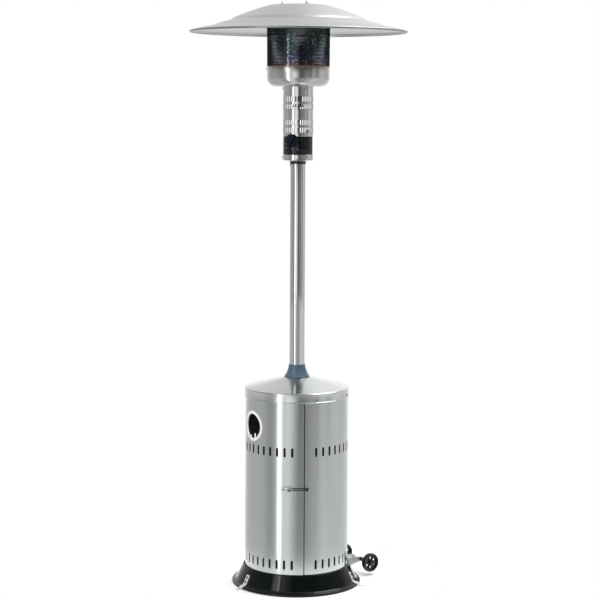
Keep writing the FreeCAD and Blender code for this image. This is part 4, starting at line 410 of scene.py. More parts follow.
# Column: bright mill-rolled tube with sharper upright reflections.
COLUMN_STEEL = BrushedSteel("stainless_tube_bright_rolled", "#C9CACB", 0.13, streak=0.03)
# Post: polished tube with narrow mirror stripes.
POST_STEEL = BrushedSteel(
    "stainless_tube_polished_upright", "#C9CBCC", 0.09, smear=0.0, streak=0.03)
# Bowl: soft grey that turns straw just under the emitter.
BOWL_STEEL = BrushedSteel(
    "stainless_spun_bowl_heat_tinted", "#BFC0BE", 0.19, lay=Lay.ROUND, heated=(1.945, 1.966))
# Screws: dull and even, so that they stay small dark-edged dots.
SCREW_STEEL = BrushedSteel("stainless_screw_cold_headed", "#B5B6B6", 0.3, smear=0.0, lay=Lay.NONE)
# Reflector: wide satin sheen, no mirror image; its rolled rim is painted darker, as painted shade
# along the roll.
SPUN = SpunAluminium("aluminium_spun_satin", "#C6C8C8", 0.34)
RIM_PAINTED_SHADE = SpunAluminium("aluminium_rim_rolled", "#8B8E90", 0.3)
# Emitter: nearly black with blue and plum oxide and pale specks.
EMITTER_STEEL = HeatTintedSteel("steel_perforated_heat_tinted", "#22343C", 0.12)
# Base: wet-looking black with a faint orange peel of about 4 mm; matt inside.
BLACK_ENAMEL = Finish(
    "steel_enamelled_gloss_black", "#060D0B", 0.08, specular=0.3, grain=(4.0, 0.04, 0.02))
PAN_INSIDE = Finish("steel_enamelled_matt_inside", "#0B0D0D", 0.6, specular=0.2)
# Brackets and latch: bright, almost white plating with a faint mottle.
ZINC = ZincPlate("steel_zinc_plated", "#EEF0F1", 0.42)
# Plastics: satin black, black wheels, a blue-grey collar, a glossy panel and a blue-black knob.
BLACK_ABS = Finish("abs_moulded_black_satin", "#14171B", 0.33)
WHEEL_PP = Finish("polypropylene_moulded_black", "#131415", 0.3)
COLLAR_PP = Finish("polypropylene_moulded_blue_grey", "#50677A", 0.3)
PANEL_ABS = Finish("abs_moulded_black_gloss", "#05080E", 0.07, specular=0.4)
KNOB_ABS = Finish("abs_moulded_blue_black", "#0B1622", 0.3, specular=0.12)
# The hand hole's edge trim: clean white with a soft gloss.
WHITE_TPE = Finish("rubber_trim_extruded_white", "#F7F8F7", 0.45)
# Flat printed marks.
PRINT_WHITE = Finish("ink_pad_printed_white", "#D9DCDD", 0.5)
PRINT_RED = Finish("ink_pad_printed_red", "#84473C", 0.5)
# Metals inside: warm brass and nickel, dull tube, grey mill sheet and dark scale.
BRASS = Finish("brass_turned", "#C9A35B", 0.28, 1.0)
NICKEL = Finish("brass_nickel_plated", "#A9A7A0", 0.32, 1.0)
ALUMINIUM_TUBE = Finish("aluminium_tube_drawn", "#BFC1C3", 0.35, 1.0)
INNER_STEEL = Finish("steel_sheet_mill_finish", "#777B7D", 0.5, 1.0)
DARK_STEEL = Finish("steel_sheet_oxidised", "#4A4B4D", 0.45, 1.0)


# Outlines


def arc(x: float, y: float, radius: float, start: float, sweep: float, steps: int) -> Line:
    """Points on an arc, from an angle in degrees and over a sweep, counted from +X."""
    angles = (math.radians(start + sweep * k / steps) for k in range(steps + 1))
    return [(x + radius * math.cos(a), y + radius * math.sin(a)) for a in angles]


def circle(x: float, y: float, radius: float, count: int = 20) -> Line:
    """A round outline."""
    return arc(x, y, radius, 0, 360, count)[:-1]


def slot(x: float, y: float, width: float, height: float, steps: int = 5) -> Line:
    """An upright slot with round ends."""
    upper = arc(x, y + height / 2 - width / 2, width / 2, 0, 180, steps)
    return upper + [(2 * x - a, 2 * y - b) for a, b in upper]


def soften(points: Line, radius: float, steps: int = 4) -> Line:
    """Rounds the corners of a closed outline.

    Args:
        points: Corners as (x, y), or (x, y, own radius).
        radius: Cut-back from each corner that has no radius of its own.
        steps: Segments in each rounded corner.

    Returns:
        The rounded outline.
    """
    rounded = []
    count = len(points)
    for index, corner in enumerate(points):
        here = Vector(corner[:2])
        before = Vector(points[index - 1][:2]) - here
        after = Vector(points[(index + 1) % count][:2]) - here
        wanted = corner[2] if len(corner) > 2 else radius
        cut = min(wanted, before.length * 0.46, after.length * 0.46)
        if cut < 1e-4:
            rounded.append((here.x, here.y))
            continue
        start = here + before.normalized() * cut
        end = here + after.normalized() * cut
        for share in (k / steps for k in range(steps + 1)):
            point = start.lerp(here, share).lerp(here.lerp(end, share), share)
            rounded.append((point.x, point.y))
    return rounded


# Mesh building


def placed(name: str, data: bpy.types.ID) -> Piece:
    """Links a new object to the scene.

    Args:
        name: Its name.
        data: Its mesh, light or camera.

    Returns:
        The object.
    """
    piece = bpy.data.objects.new(name, data)
    bpy.context.scene.collection.objects.link(piece)
    return piece


def in_metres(name: str, builder: Mesh) -> bpy.types.Mesh:
    """Turns a bmesh in millimetres into a smooth mesh in metres.

    Args:
        name: The mesh's name.
        builder: The bmesh, which is freed.

    Returns:
        The mesh.
    """
    mesh = bpy.data.meshes.new(name)
    bmesh.ops.scale(builder, vec=(MM, MM, MM), verts=builder.verts)
    builder.to_mesh(mesh)
    builder.free()
    mesh.shade_smooth()
    return mesh


def finished(
    name: str, builder: Mesh, finish: Finish, sharp: float = 32.0, recalculate: bool = True
) -> Piece:
    """Turns a bmesh in millimetres into a finished object in metres.

    Args:
        name: The piece's name.
        builder: The mesh, which is freed.
        finish: What it is finished in.
        sharp: Edges that turn by more than this many degrees stay crisp.
        recalculate: Whether faces are turned outwards first.

    Returns:
        The object, linked to the scene.
    """
    bmesh.ops.remove_doubles(builder, verts=builder.verts, dist=0.002)
    if recalculate:
        bmesh.ops.recalc_face_normals(builder, faces=builder.faces)
    mesh = in_metres(name, builder)
    mesh.set_sharp_from_angle(angle=math.radians(sharp))
    mesh.materials.append(finish.material())
    return placed(name, mesh)


def skin(builder: Mesh, rings: Sequence[Sequence[bmesh.types.BMVert]], closed: bool) -> None:
    """Joins rings of points by faces.

    Args:
        builder: The mesh to add to.
        rings: Rings of the same number of points, or of one point, which is a pole.
        closed: Whether the last ring joins the first; if not, both get an end face.
    """
    for first, second in zip(rings, rings[1:] + rings[:1] if closed else rings[1:]):
        count = max(len(first), len(second))
        if count == 1:
            continue
        for k in range(count):
            n = (k + 1) % count
            corners = (first[k % len(first)], first[n % len(first)],
                       second[n % len(second)], second[k % len(second)])
            builder.faces.new(list(dict.fromkeys(corners)))
    if not closed:
        builder.faces.new(rings[0])
        builder.faces.new(list(reversed(rings[-1])))


def spin_profile(builder: Mesh, profile: Line, segments: int, matrix: Matrix | None = None) -> None:
    """Adds a closed (radius, height) profile turned about its own axis.

    Args:
        builder: The mesh to add to.
        profile: Corners of the section; those at radius 0 become poles.
        segments: Facets round the axis.
        matrix: Where the turned form goes; on +Z by default.
    """
    rings = []
    for radius, height in profile:
        spots = [(0, 0)] if radius < 1e-6 else circle(0, 0, radius, segments)
        rings.append([builder.verts.new((x, y, height)) for x, y in spots])
    skin(builder, rings, True)
    if matrix is not None:
        bmesh.ops.transform(builder, matrix=matrix, verts=[v for ring in rings for v in ring])


def turned(
    name: str, profile: Line, finish: Finish, segments: int = 224, sharp: float = 32.0
) -> Piece:
    """A lathe-turned or spun piece.

    Args:
        name: The piece's name.
        profile: Closed section as (radius, height).
        finish: What it is finished in.
        segments: Facets round the axis.
        sharp: Edges that turn by more than this many degrees stay crisp.

    Returns:
        The piece.
    """
    builder = bmesh.new()
    spin_profile(builder, profile, segments)
    return finished(name, builder, finish, sharp)


def merge(builder: Mesh, part: Mesh) -> None:
    """Adds one bmesh to another and frees it.

    Args:
        builder: The mesh to add to.
        part: The mesh that is added.
    """
    scratch = bpy.data.meshes.new("scratch")
    part.to_mesh(scratch)
    part.free()
    builder.from_mesh(scratch)
    bpy.data.meshes.remove(scratch)


def fill_flat(builder: Mesh, outer: Line, holes: Iterable[Line]) -> list[bmesh.types.BMFace]:
    """Fills an outline with holes in the plane of X and Z.

    Args:
        builder: The mesh to add to.
        outer: The outline as (x, z).
        holes: Outlines left open.

    Returns:
        The new faces.
    """
    edges = []
    for loop in [outer, *holes]:
        verts = [builder.verts.new((x, 0, z)) for x, z in loop]
        edges += [builder.edges.new((a, b)) for a, b in zip(verts, verts[1:] + verts[:1])]
    made = bmesh.ops.triangle_fill(builder, use_beauty=True, edges=edges)
    return [item for item in made["geom"] if isinstance(item, bmesh.types.BMFace)]


def plate(
    builder: Mesh, outer: Line, holes: Sequence[Line], thickness: float, matrix: Matrix
) -> None:
    """Adds a flat plate with holes, made in the plane of X and Z and then moved.

    Args:
        builder: The mesh to add to.
        outer: The outline as (x, z).
        holes: Outlines of its holes.
        thickness: Its thickness, along +Y.
        matrix: Where it goes.
    """
    part = bmesh.new()
    grown = bmesh.ops.extrude_face_region(part, geom=fill_flat(part, outer, holes))
    lifted = [item for item in grown["geom"] if isinstance(item, bmesh.types.BMVert)]
    bmesh.ops.translate(part, vec=(0, thickness, 0), verts=lifted)
    bmesh.ops.transform(part, matrix=matrix, verts=part.verts)
    merge(builder, part)


def bake(piece: Piece) -> Piece:
    """Replaces a piece's mesh by what its modifiers give, and drops the modifiers.

    Args:
        piece: The piece.

    Returns:
        The same piece.
    """
    bpy.context.view_layer.update()
    graph = bpy.context.evaluated_depsgraph_get()
    mesh = bpy.data.meshes.new_from_object(piece.evaluated_get(graph), depsgraph=graph)
    old = piece.data
    piece.modifiers.clear()
    piece.data = mesh
    mesh.name = piece.name
    if old.users == 0:
        bpy.data.meshes.remove(old)
    return piece


def modified(piece: Piece, kind: str, **settings: Any) -> Piece:
    """Runs one modifier on a piece and keeps its result.

    Args:
        piece: The piece.
        kind: The modifier's type.
        settings: Its properties.

    Returns:
        The same piece.
    """
    modifier = piece.modifiers.new(kind.lower(), kind)
    for key, value in settings.items():
        setattr(modifier, key, value)
    return bake(piece)


def bevelled(piece: Piece, width: float, segments: int = 2) -> None:
    """Breaks a piece's sharp edges, by a width in millimetres and in a number of steps."""
    modified(piece, "BEVEL", width=width * MM, segments=segments, limit_method="ANGLE",
             angle_limit=math.radians(35), use_clamp_overlap=True)
    piece.data.set_sharp_from_angle(angle=math.radians(40))


def thicken(piece: Piece, thickness: float) -> None:
    """Gives a sheet its thickness, inwards from its outer face."""
    modified(piece, "SOLIDIFY", thickness=thickness * MM, offset=-1.0, use_even_offset=False)


def weld(piece: Piece) -> None:
    """Welds the strips of a rolled wall.

    Args:
        piece: The wall.
    """
    builder = bmesh.new()
    builder.from_mesh(piece.data)
    bmesh.ops.remove_doubles(builder, verts=builder.verts, dist=0.00003)
    builder.to_mesh(piece.data)
    builder.free()


def second_finish(
    piece: Piece, finish: Finish, chosen: Callable[[bpy.types.MeshPolygon], bool]
) -> None:
    """Gives some faces of a piece another finish.

    Args:
        piece: The piece.
        finish: The other finish.
        chosen: Says which faces get it.
    """
    number = len(piece.data.materials)
    piece.data.materials.append(finish.material())
    for face in piece.data.polygons:
        if chosen(face):
            face.material_index = number


def wall_normals(piece: Piece, slope: float = 0.0) -> None:
    """Gives a rolled wall a cylinder's even shading, and a mill finish on its inner side.

    Args:
        piece: A wall about +Z, with holes and thickness.
        slope: How fast its radius grows with height.
    """
    mesh = piece.data
    mesh.shade_smooth()
    second_finish(piece, INNER_STEEL, lambda face: face.normal.dot(
        Vector((face.center.x, face.center.y, 0))) < -0.9 * face.center.xy.length)
    normals = []
    for face in mesh.polygons:
        for index in face.vertices:
            point = mesh.vertices[index].co
            radial = Vector((point.x, point.y, 0)).normalized()
            wall = (radial - Vector((0, 0, slope))).normalized()
            turn = face.normal.dot(wall)
            flush = wall * (1 if turn > 0 else -1)
            normals.append(flush if abs(turn) > 0.9 else face.normal.copy())
    mesh.normals_split_custom_set(normals)


def join(name: str, pieces: Sequence[Piece]) -> Piece:
    """Joins pieces into one.

    Args:
        name: The name of the result.
        pieces: The pieces, which are removed.

    Returns:
        The joined piece.
    """
    builder = bmesh.new()
    materials: list[bpy.types.Material] = []
    for piece in pieces:
        start = len(builder.faces)
        builder.from_mesh(piece.data)
        builder.faces.ensure_lookup_table()
        own = list(piece.data.materials)
        materials += [material for material in own if material not in materials]
        for face in builder.faces[start:]:
            face.material_index = materials.index(own[face.material_index])
    mesh = bpy.data.meshes.new(name)
    builder.to_mesh(mesh)
    builder.free()
    for material in materials:
        mesh.materials.append(material)
    for piece in pieces:
        bpy.data.objects.remove(piece)
    return placed(name, mesh)


def join_keep_normals(name: str, pieces: Sequence[Piece]) -> Piece:
    """Joins pieces whose own corner normals are kept.

    Args:
        name: The name of the result.
        pieces: The pieces, which are removed.

    Returns:
        The joined piece.
    """
    kept = [Vector(normal.vector) for piece in pieces for normal in piece.data.corner_normals]
    joined = join(name, pieces)
    joined.data.shade_smooth()
    joined.data.normals_split_custom_set(kept)
    return joined


# Geometry Nodes: what repeats over a surface or at a set of places


def new_tree(name: str, inputs: dict[str, str]) -> tuple[Tree, Any]:
    """An empty geometry tree with one geometry output.

    Args:
        name: The tree's name.
        inputs: By socket type: the labels of its inputs, with commas between.

    Returns:
        The tree and what its inputs give.
    """
    tree = bpy.data.node_groups.new(name, "GeometryNodeTree")
    for kind, labels in {"Geometry": "Geometry", **inputs}.items():
        for label in labels.split(","):
            tree.interface.new_socket(label, in_out="INPUT", socket_type=f"NodeSocket{kind}")
    tree.interface.new_socket("Geometry", in_out="OUTPUT", socket_type="NodeSocketGeometry")
    return tree, add_node(tree, "NodeGroupInput").outputs


def end_tree(tree: Tree, shape: Socket, finish: Socket) -> Tree:
    """Ends a geometry tree with a shape in its finish.

    Args:
        tree: The tree.
        shape: The geometry.
        finish: The material.

    Returns:
        The same tree.
    """
    dressed = add_node(tree, "GeometryNodeSetMaterial", {"Geometry": shape, "Material": finish})
    add_node(tree, "NodeGroupOutput", {0: dressed.outputs[0]})
    return tree


def run_tree(name: str, tree: Tree, values: dict, mesh: bpy.types.Mesh | None = None) -> Piece:
    """Runs a geometry tree and keeps its result as a plain mesh.

    Args:
        name: The new piece's name.
        tree: The geometry tree.
        values: Its inputs by label.
        mesh: What it starts from, such as the places of what it scatters.

    Returns:
        The piece, with no modifier left.
    """
    piece = placed(name, mesh or bpy.data.meshes.new(name))
    modifier = piece.modifiers.new("made", "NODES")
    modifier.node_group = tree
    for item in tree.interface.items_tree:
        if item.in_out == "INPUT" and item.name in values:
            modifier[item.identifier] = values[item.name]
    bake(piece)
    materials = piece.data.materials
    if materials and materials[0] is None:
        materials.pop(index=0)
    return piece


def wrap_tree() -> Tree:
    """A tree that lays a flat cell out in rows and columns and rolls the sheet round +Z.

    Returns:
        The tree, made once and then shared.
    """
    found = bpy.data.node_groups.get("rolled_sheet")
    if found:
        return found
    tree, given = new_tree("rolled_sheet", {
        "Object": "Cell", "Int": "Columns,Rows", "Material": "Finish",
        "Float": "Pitch,Row Height,Stagger,Radius,Taper,Start,Base"})
    do = partial(step, tree)
    index = add_node(tree, "GeometryNodeInputIndex").outputs[0]
    row = do("FLOOR", do("DIVIDE", index, given["Columns"]))
    column = do("MODULO", index, given["Columns"])
    shift = do("MULTIPLY", do("MODULO", row, 2.0), given["Stagger"])
    spot = add_node(tree, "ShaderNodeCombineXYZ", {
        0: do("MULTIPLY", do("ADD", column, shift), given["Pitch"]),
        2: do("MULTIPLY", row, given["Row Height"])})
    points = add_node(tree, "GeometryNodePoints", {
        "Count": do("MULTIPLY", given["Columns"], given["Rows"]), "Position": spot.outputs[0]})
    cell = add_node(tree, "GeometryNodeObjectInfo", {"Object": given["Cell"]})
    laid = add_node(tree, "GeometryNodeInstanceOnPoints", {
        "Points": points.outputs[0], "Instance": cell.outputs["Geometry"]})
    real = add_node(tree, "GeometryNodeRealizeInstances", {0: laid.outputs[0]})
    welded = add_node(tree, "GeometryNodeMergeByDistance", {
        "Distance": 0.00002, "Geometry": real.outputs[0]})
    place = add_node(tree, "GeometryNodeInputPosition").outputs[0]
    split = add_node(tree, "ShaderNodeSeparateXYZ", {0: place}).outputs
    angle = do("ADD", do("DIVIDE", split[0], given["Radius"]), given["Start"])
    reach = do("ADD", do("MULTIPLY_ADD", split[2], given["Taper"], given["Radius"]), split[1])
    rolled = add_node(tree, "ShaderNodeCombineXYZ", {
        0: do("MULTIPLY", do("COSINE", angle), reach),
        1: do("MULTIPLY", do("SINE", angle), reach),
        2: do("ADD", split[2], given["Base"])})
    moved = add_node(tree, "GeometryNodeSetPosition", {
        "Geometry": welded.outputs[0], "Position": rolled.outputs[0]})
    return end_tree(tree, moved.outputs[0], given["Finish"])


def scatter_tree() -> Tree:
    """A tree that sets a small part at every point, with its +Z along the point's aim.

    Returns:
        The tree, made once and then shared.
    """
    found = bpy.data.node_groups.get("set_fasteners")
    if found:
        return found
    tree, given = new_tree("set_fasteners", {
        "Object": "Part", "Float": "Spin", "Material": "Finish"})
    part = add_node(tree, "GeometryNodeObjectInfo", {"Object": given["Part"]})
    aim = add_node(tree, "GeometryNodeInputNamedAttribute", {
        "data_type": "FLOAT_VECTOR", "Name": "aim"})
    upright = add_node(tree, "FunctionNodeAlignRotationToVector", {
        "axis": "Z", "Vector": aim.outputs[0]})
    index = add_node(tree, "GeometryNodeInputIndex").outputs[0]
    about = add_node(tree, "FunctionNodeAxisAngleToRotation", {
        "Axis": (0, 0, 1), "Angle": step(tree, "MULTIPLY", index, given["Spin"])})
    rotation = add_node(tree, "FunctionNodeRotateRotation", {
        "rotation_space": "LOCAL", 0: upright.outputs[0], 1: about.outputs[0]})
    set_out = add_node(tree, "GeometryNodeInstanceOnPoints", {
        "Points": given["Geometry"], "Instance": part.outputs["Geometry"],
        "Rotation": rotation.outputs[0]})
    real = add_node(tree, "GeometryNodeRealizeInstances", {0: set_out.outputs[0]})
    return end_tree(tree, real.outputs[0], given["Finish"])


def scatter(
    name: str, pattern: Piece, places: Sequence[tuple[Vector, Vector]], finish: Finish,
    spin: float = 0.7,
) -> Piece:
    """Sets copies of a small part at places with their own directions.

    Args:
        name: The new piece's name.
        pattern: The part, made on the origin along +Z; it is removed.
        places: Points in millimetres and the directions that +Z is turned to.
        finish: What the copies are finished in.
        spin: How far each copy is turned from the one before, in radians.

    Returns:
        One plain mesh of all the copies.
    """
    mesh = bpy.data.meshes.new(name)
    mesh.from_pydata([tuple(point * MM) for point, _ in places], [], [])
    aims = mesh.attributes.new("aim", "FLOAT_VECTOR", "POINT")
    aims.data.foreach_set("vector", [value for _, aim in places for value in aim])
    piece = run_tree(name, scatter_tree(), {
        "Part": pattern, "Spin": spin, "Finish": finish.material()}, mesh)
    piece.data.set_sharp_from_angle(angle=math.radians(32))
    bpy.data.objects.remove(pattern)
    return piece


def rolled_sheet(
    name: str, cell: Piece, finish: Finish, *, columns: int, rows: int = 1, pitch: float,
    row_height: float = 0.0, stagger: float = 0.0, radius: float, taper: float = 0.0,
    start: float = 0.0, base: float = 0.0,
) -> Piece:
    """Rolls a sheet of repeated cells into a wall round +Z.

    Args:
        name: The new piece's name.
        cell: The flat cell, in the plane of X and Z; it is removed.
        finish: What the sheet is finished in.
        columns: Cells across.
        rows: Cells up.
        pitch: Width of a cell in millimetres.
        row_height: Height of a cell.
        stagger: Sideways shift of every second row, in cells.
        radius: The wall's radius at its base.
        taper: How fast the radius grows with height.
        start: Bearing of the first cell's middle.
        base: Height of the cells' own zero.

    Returns:
        The wall as a plain mesh.
    """
    piece = run_tree(name, wrap_tree(), {
        "Cell": cell, "Columns": columns, "Rows": rows, "Pitch": pitch * MM,
        "Row Height": row_height * MM, "Stagger": stagger, "Radius": radius * MM,
        "Taper": taper, "Start": math.radians(start - 90), "Base": base * MM,
        "Finish": finish.material(),
    })
    bpy.data.objects.remove(cell)
    return piece


def as_cell(builder: Mesh) -> Piece:
    """Turns a flat bmesh into a cell whose faces look to -Y.

    Args:
        builder: The mesh, which is freed.

    Returns:
        The cell.
    """
    for face in builder.faces:
        face.normal_update()
        if face.normal.y > 0:
            face.normal_flip()
    return placed("cell", in_metres("cell", builder))


def flat_cell(
    width: float, levels: Sequence[float], windows: dict[int, Line], splits: int = 4
) -> Piece:
    """A flat upright strip of sheet, open where a window's outline is.

    Args:
        width: Its width.
        levels: Heights of its cross lines, from the bottom up.
        windows: Outlines of holes, by the number of the band that holds each.
        splits: Facets across the strip.

    Returns:
        The strip, standing on the plane of X and Z.
    """
    builder = bmesh.new()
    xs = [width * (k / splits - 0.5) for k in range(splits + 1)]
    for band, (low, high) in enumerate(zip(levels, levels[1:])):
        if band in windows:
            outline = [(x, low) for x in xs] + [(x, high) for x in reversed(xs)]
            fill_flat(builder, outline, [windows[band]])
        else:
            for left, right in zip(xs, xs[1:]):
                builder.faces.new([builder.verts.new((x, 0, z)) for x, z in
                                   ((left, low), (right, low), (right, high), (left, high))])
    bmesh.ops.remove_doubles(builder, verts=builder.verts, dist=0.001)
    return as_cell(builder)


# Shared fasteners


def headed(name: str, levels: Sequence[tuple[float, float, bool]], count: int = 24) -> Piece:
    """A small fastener, standing on the origin.

    Args:
        name: Its name.
        levels: Radius and height of each ring, and whether it lies on a hexagon.
        count: Points in a ring.

    Returns:
        The fastener.
    """
    builder = bmesh.new()
    rings = []
    for size, level, six in levels:
        ring = []
        for a in (2 * math.pi * k / count for k in range(count)):
            part = (a % (math.pi / 3)) - math.pi / 6
            reach = size * math.cos(math.pi / 6) / math.cos(part) if six else size
            ring.append(builder.verts.new((reach * math.cos(a), reach * math.sin(a), level)))
        rings.append(ring)
    skin(builder, rings, False)
    return finished(name, builder, SCREW_STEEL)


def pan_head(radius: float = 4.6, height: float = 2.6) -> Piece:
    """A pan-head screw's head with a hexagon socket, standing on the origin."""
    dome = [(1.0, 0.0), (1.0, 0.35), (0.93, 0.68), (0.78, 0.9), (0.62, 1.0)]
    return headed("pan_head", [(radius * r, height * h, False) for r, h in dome] + [
        (radius * 0.5, height * h, True) for h in (1.0, 0.4)])


def hex_nut(radius: float, height: float, stud: float) -> Piece:
    """A hexagon nut with a domed stud end, standing on the origin."""
    return headed("hex_nut", (
        (radius * 0.95, 0.0, True), (radius, height * 0.12, True), (radius, height * 0.88, True),
        (radius * 0.86, height, False), (stud * 1.15, height, False), (stud, height * 0.9, False),
        (stud, height * 1.55, False), (stud * 0.8, height * 1.75, False)))


# Swaps Y and Z, for plates that lie flat.
LAID_FLAT = Matrix(((1, 0, 0, 0), (0, 0, 1, 0), (0, 1, 0, 0), (0, 0, 0, 1)))


# Base


@dataclass
class Base:
    """Pressed base pan with its rolled lip, anchor brackets and wheel kit."""

    top: float = 202.3
    shoulder: float = 67.2
    heel: float = 14.5
    flare: float = 25.7
    rim: float = 244.75
    lip: float = 4.75
    inside: float = 194.0
    outside: Line = (
        (0.0, 66.0, 0.0), (197.3, 66.0, 3.0), (198.8, 69.0, 3.0), (200.8, 69.0, 3.0),
        (202.3, 67.2, 3.0), (228.0, 14.5, 3.0), (235.2, 9.6, 3.0),
    )
    underside: Line = (
        (238.5, 0.2), (238.5, 8.0), (235.0, 8.0), (226.6, 13.5), (200.9, 65.8),
        (200.0, 67.5), (199.4, 67.5), (198.0, 64.5), (0.0, 64.5),
    )
    anchors: tuple[float, ...] = (-57.0, 72.0, -186.0)
    screw_levels: tuple[float, ...] = (39.0, 23.0)
    screw_lift: float = 2.5
    strap_top: float = 48.0
    strap_bend: float = 16.5
    strap_shelf: float = 9.9
    strap_reach: float = 26.2
    strap_half: float = 9.9
    strap_sheet: float = 2.0
    strap_hole: tuple[float, float] = (6.3, 3.3)
    wheel_bearing: float = 123.5
    wheel_spot: tuple[float, float, float] = (286.0, 88.0, 47.0)
    tyre: Line = (
        (27.0, -9.4), (33.5, -9.4, 2.5), (35.5, -5.0, 3.0), (35.5, 5.0, 3.0), (33.5, 9.4, 2.5),
        (27.0, 9.4), (27.0, 4.0, 1.5), (25.5, 0.0, 1.0), (27.0, -4.0, 1.5),
    )
    hub: Line = (
        (5.05, -9.5), (8.6, -9.5), (9.6, -8.5), (10.2, 0.0), (9.6, 8.5), (8.6, 9.5), (5.05, 9.5),
    )
    web: float = 6.4
    web_reach: tuple[float, float] = (9.8, 27.4)
    web_holes: tuple[float, float] = (17.8, 4.9)
    rib: Line = ((9.9, -6.63), (27.2, -6.63), (27.2, 6.63), (9.9, 6.63))
    rib_sheet: float = 1.6

    def build(self) -> None:
        """Makes the base's pieces."""
        self.pan()
        self.brackets()
        self.wheels()

    def skirt(self, height: float) -> float:
        """The skirt's outer radius at a height."""
        return self.top + self.flare * (self.shoulder - height) / (self.shoulder - self.heel)

    def pan(self) -> None:
        """The enamelled pan."""
        roll = arc(self.rim - self.lip, self.lip, self.lip, 90, -180, 10)
        profile = [*soften(self.outside, 2.0), *roll, *self.underside]
        piece = turned("base_pan_enamelled", profile, BLACK_ENAMEL)
        second_finish(piece, PAN_INSIDE, lambda face: face.center.xy.length < self.inside * MM)
        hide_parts("base_pan")
        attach(piece, "frame")

    def brackets(self) -> None:
        """Formed anchor straps with their screws."""
        straps, heads = bmesh.new(), []
        tilt = math.atan2(self.flare, self.shoulder - self.heel)
        top, bend, shelf = self.strap_top, self.strap_bend, self.strap_shelf
        for bearing in self.anchors:
            path = [(self.skirt(top) + 0.2, top), (self.skirt(bend) + 0.3, bend),
                    (self.rim - 8.5, shelf), (self.rim + 0.3, shelf), (self.rim + 0.3, 0.0),
                    (self.rim + self.strap_reach, 0.0)]
            self.strap(straps, path, bearing)
            normal = Matrix.Rotation(math.radians(bearing - 90), 3, "Z") @ Vector(
                (math.cos(tilt), 0, math.sin(tilt)))
            heads += [(at(bearing, self.skirt(level), level) + normal * self.screw_lift, normal)
                      for level in self.screw_levels]
        piece = finished("anchor_straps_formed", straps, ZINC, 30.0)
        bevelled(piece, 0.4)
        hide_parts("anchor_bracket_1", "anchor_bracket_2", "anchor_bracket_3")
        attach(piece, "frame")
        screws = scatter("anchor_screw_heads", pan_head(), heads, DARK_STEEL)
        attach(screws, "frame")

    def strap(self, builder: Mesh, path: Line, bearing: float) -> None:
        """Adds one bent strap with a round, drilled foot.

        Args:
            builder: The mesh to add to.
            path: Its inner line as (radius, height).
            bearing: Where it stands.
        """
        part = bmesh.new()
        half, sheet = self.strap_half, self.strap_sheet
        bends = [0.0] + [2.4] * (len(path) - 2) + [0.0]
        bent = soften([(*spot, bend) for spot, bend in zip(path, bends)], 0.0)
        line = [Vector((r, 0, z)) for r, z in bent]
        side = Vector((0, half, 0))
        rows = []
        for index, low in enumerate(line[:-1]):
            along = (line[index + 1] - line[max(index - 1, 0)]).normalized()
            high = low + Vector((-along.z, 0, along.x)) * sheet
            rows.append([part.verts.new(p) for p in (low - side, low + side, high + side,
                                                     high - side)])
        skin(part, rows, False)
        start, end = line[-2].x - 0.01, line[-1].x
        foot = [(start, -half), *arc(end - half, 0, half, -90, 180, 12), (start, half)]
        inset, bore = self.strap_hole
        plate(part, foot, [circle(end - inset, 0.0, bore)], sheet, LAID_FLAT)
        bmesh.ops.rotate(part, cent=(0, 0, 0), verts=part.verts,
                         matrix=Matrix.Rotation(math.radians(bearing - 90), 3, "Z"))
        merge(builder, part)

    def wheels(self) -> None:
        """Moulded wheels, each on its own body."""
        turn = Matrix.Rotation(math.radians(self.wheel_bearing - 90), 4, "Z")
        across = Matrix.Rotation(math.radians(-90), 4, "X")
        flat = Matrix.Rotation(math.radians(90), 4, "X")
        reach, track, height = self.wheel_spot
        inner, outer = self.web_reach
        ring, hole = self.web_holes
        for name, body, side in (("wheel_left", "wheel_l", 1), ("wheel_right", "wheel_r", -1)):
            place = turn @ Matrix.Translation((reach, track * side, height)) @ across
            builder = bmesh.new()
            spin_profile(builder, soften(self.tyre, 0.6), 72, place)
            spin_profile(builder, soften(self.hub, 0.6), 36, place)
            holes = [circle(x, y, hole, 14) for x, y in arc(0, 0, ring, 30, 300, 5)]
            holes.append(circle(0, 0, inner, 36))
            plate(builder, circle(0, 0, outer, 72), holes, self.web,
                  place @ Matrix.Translation((0, 0, -self.web / 2)) @ flat)
            for k in range(6):
                plate(builder, self.rib, [], self.rib_sheet,
                      place @ Matrix.Rotation(math.radians(60 * k), 4, "Z")
                      @ Matrix.Translation((0, -self.rib_sheet / 2, 0)))
            piece = finished(f"{name}_moulded", builder, WHEEL_PP, 34.0)
            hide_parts(name)
            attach(piece, body)


# Bottle housing


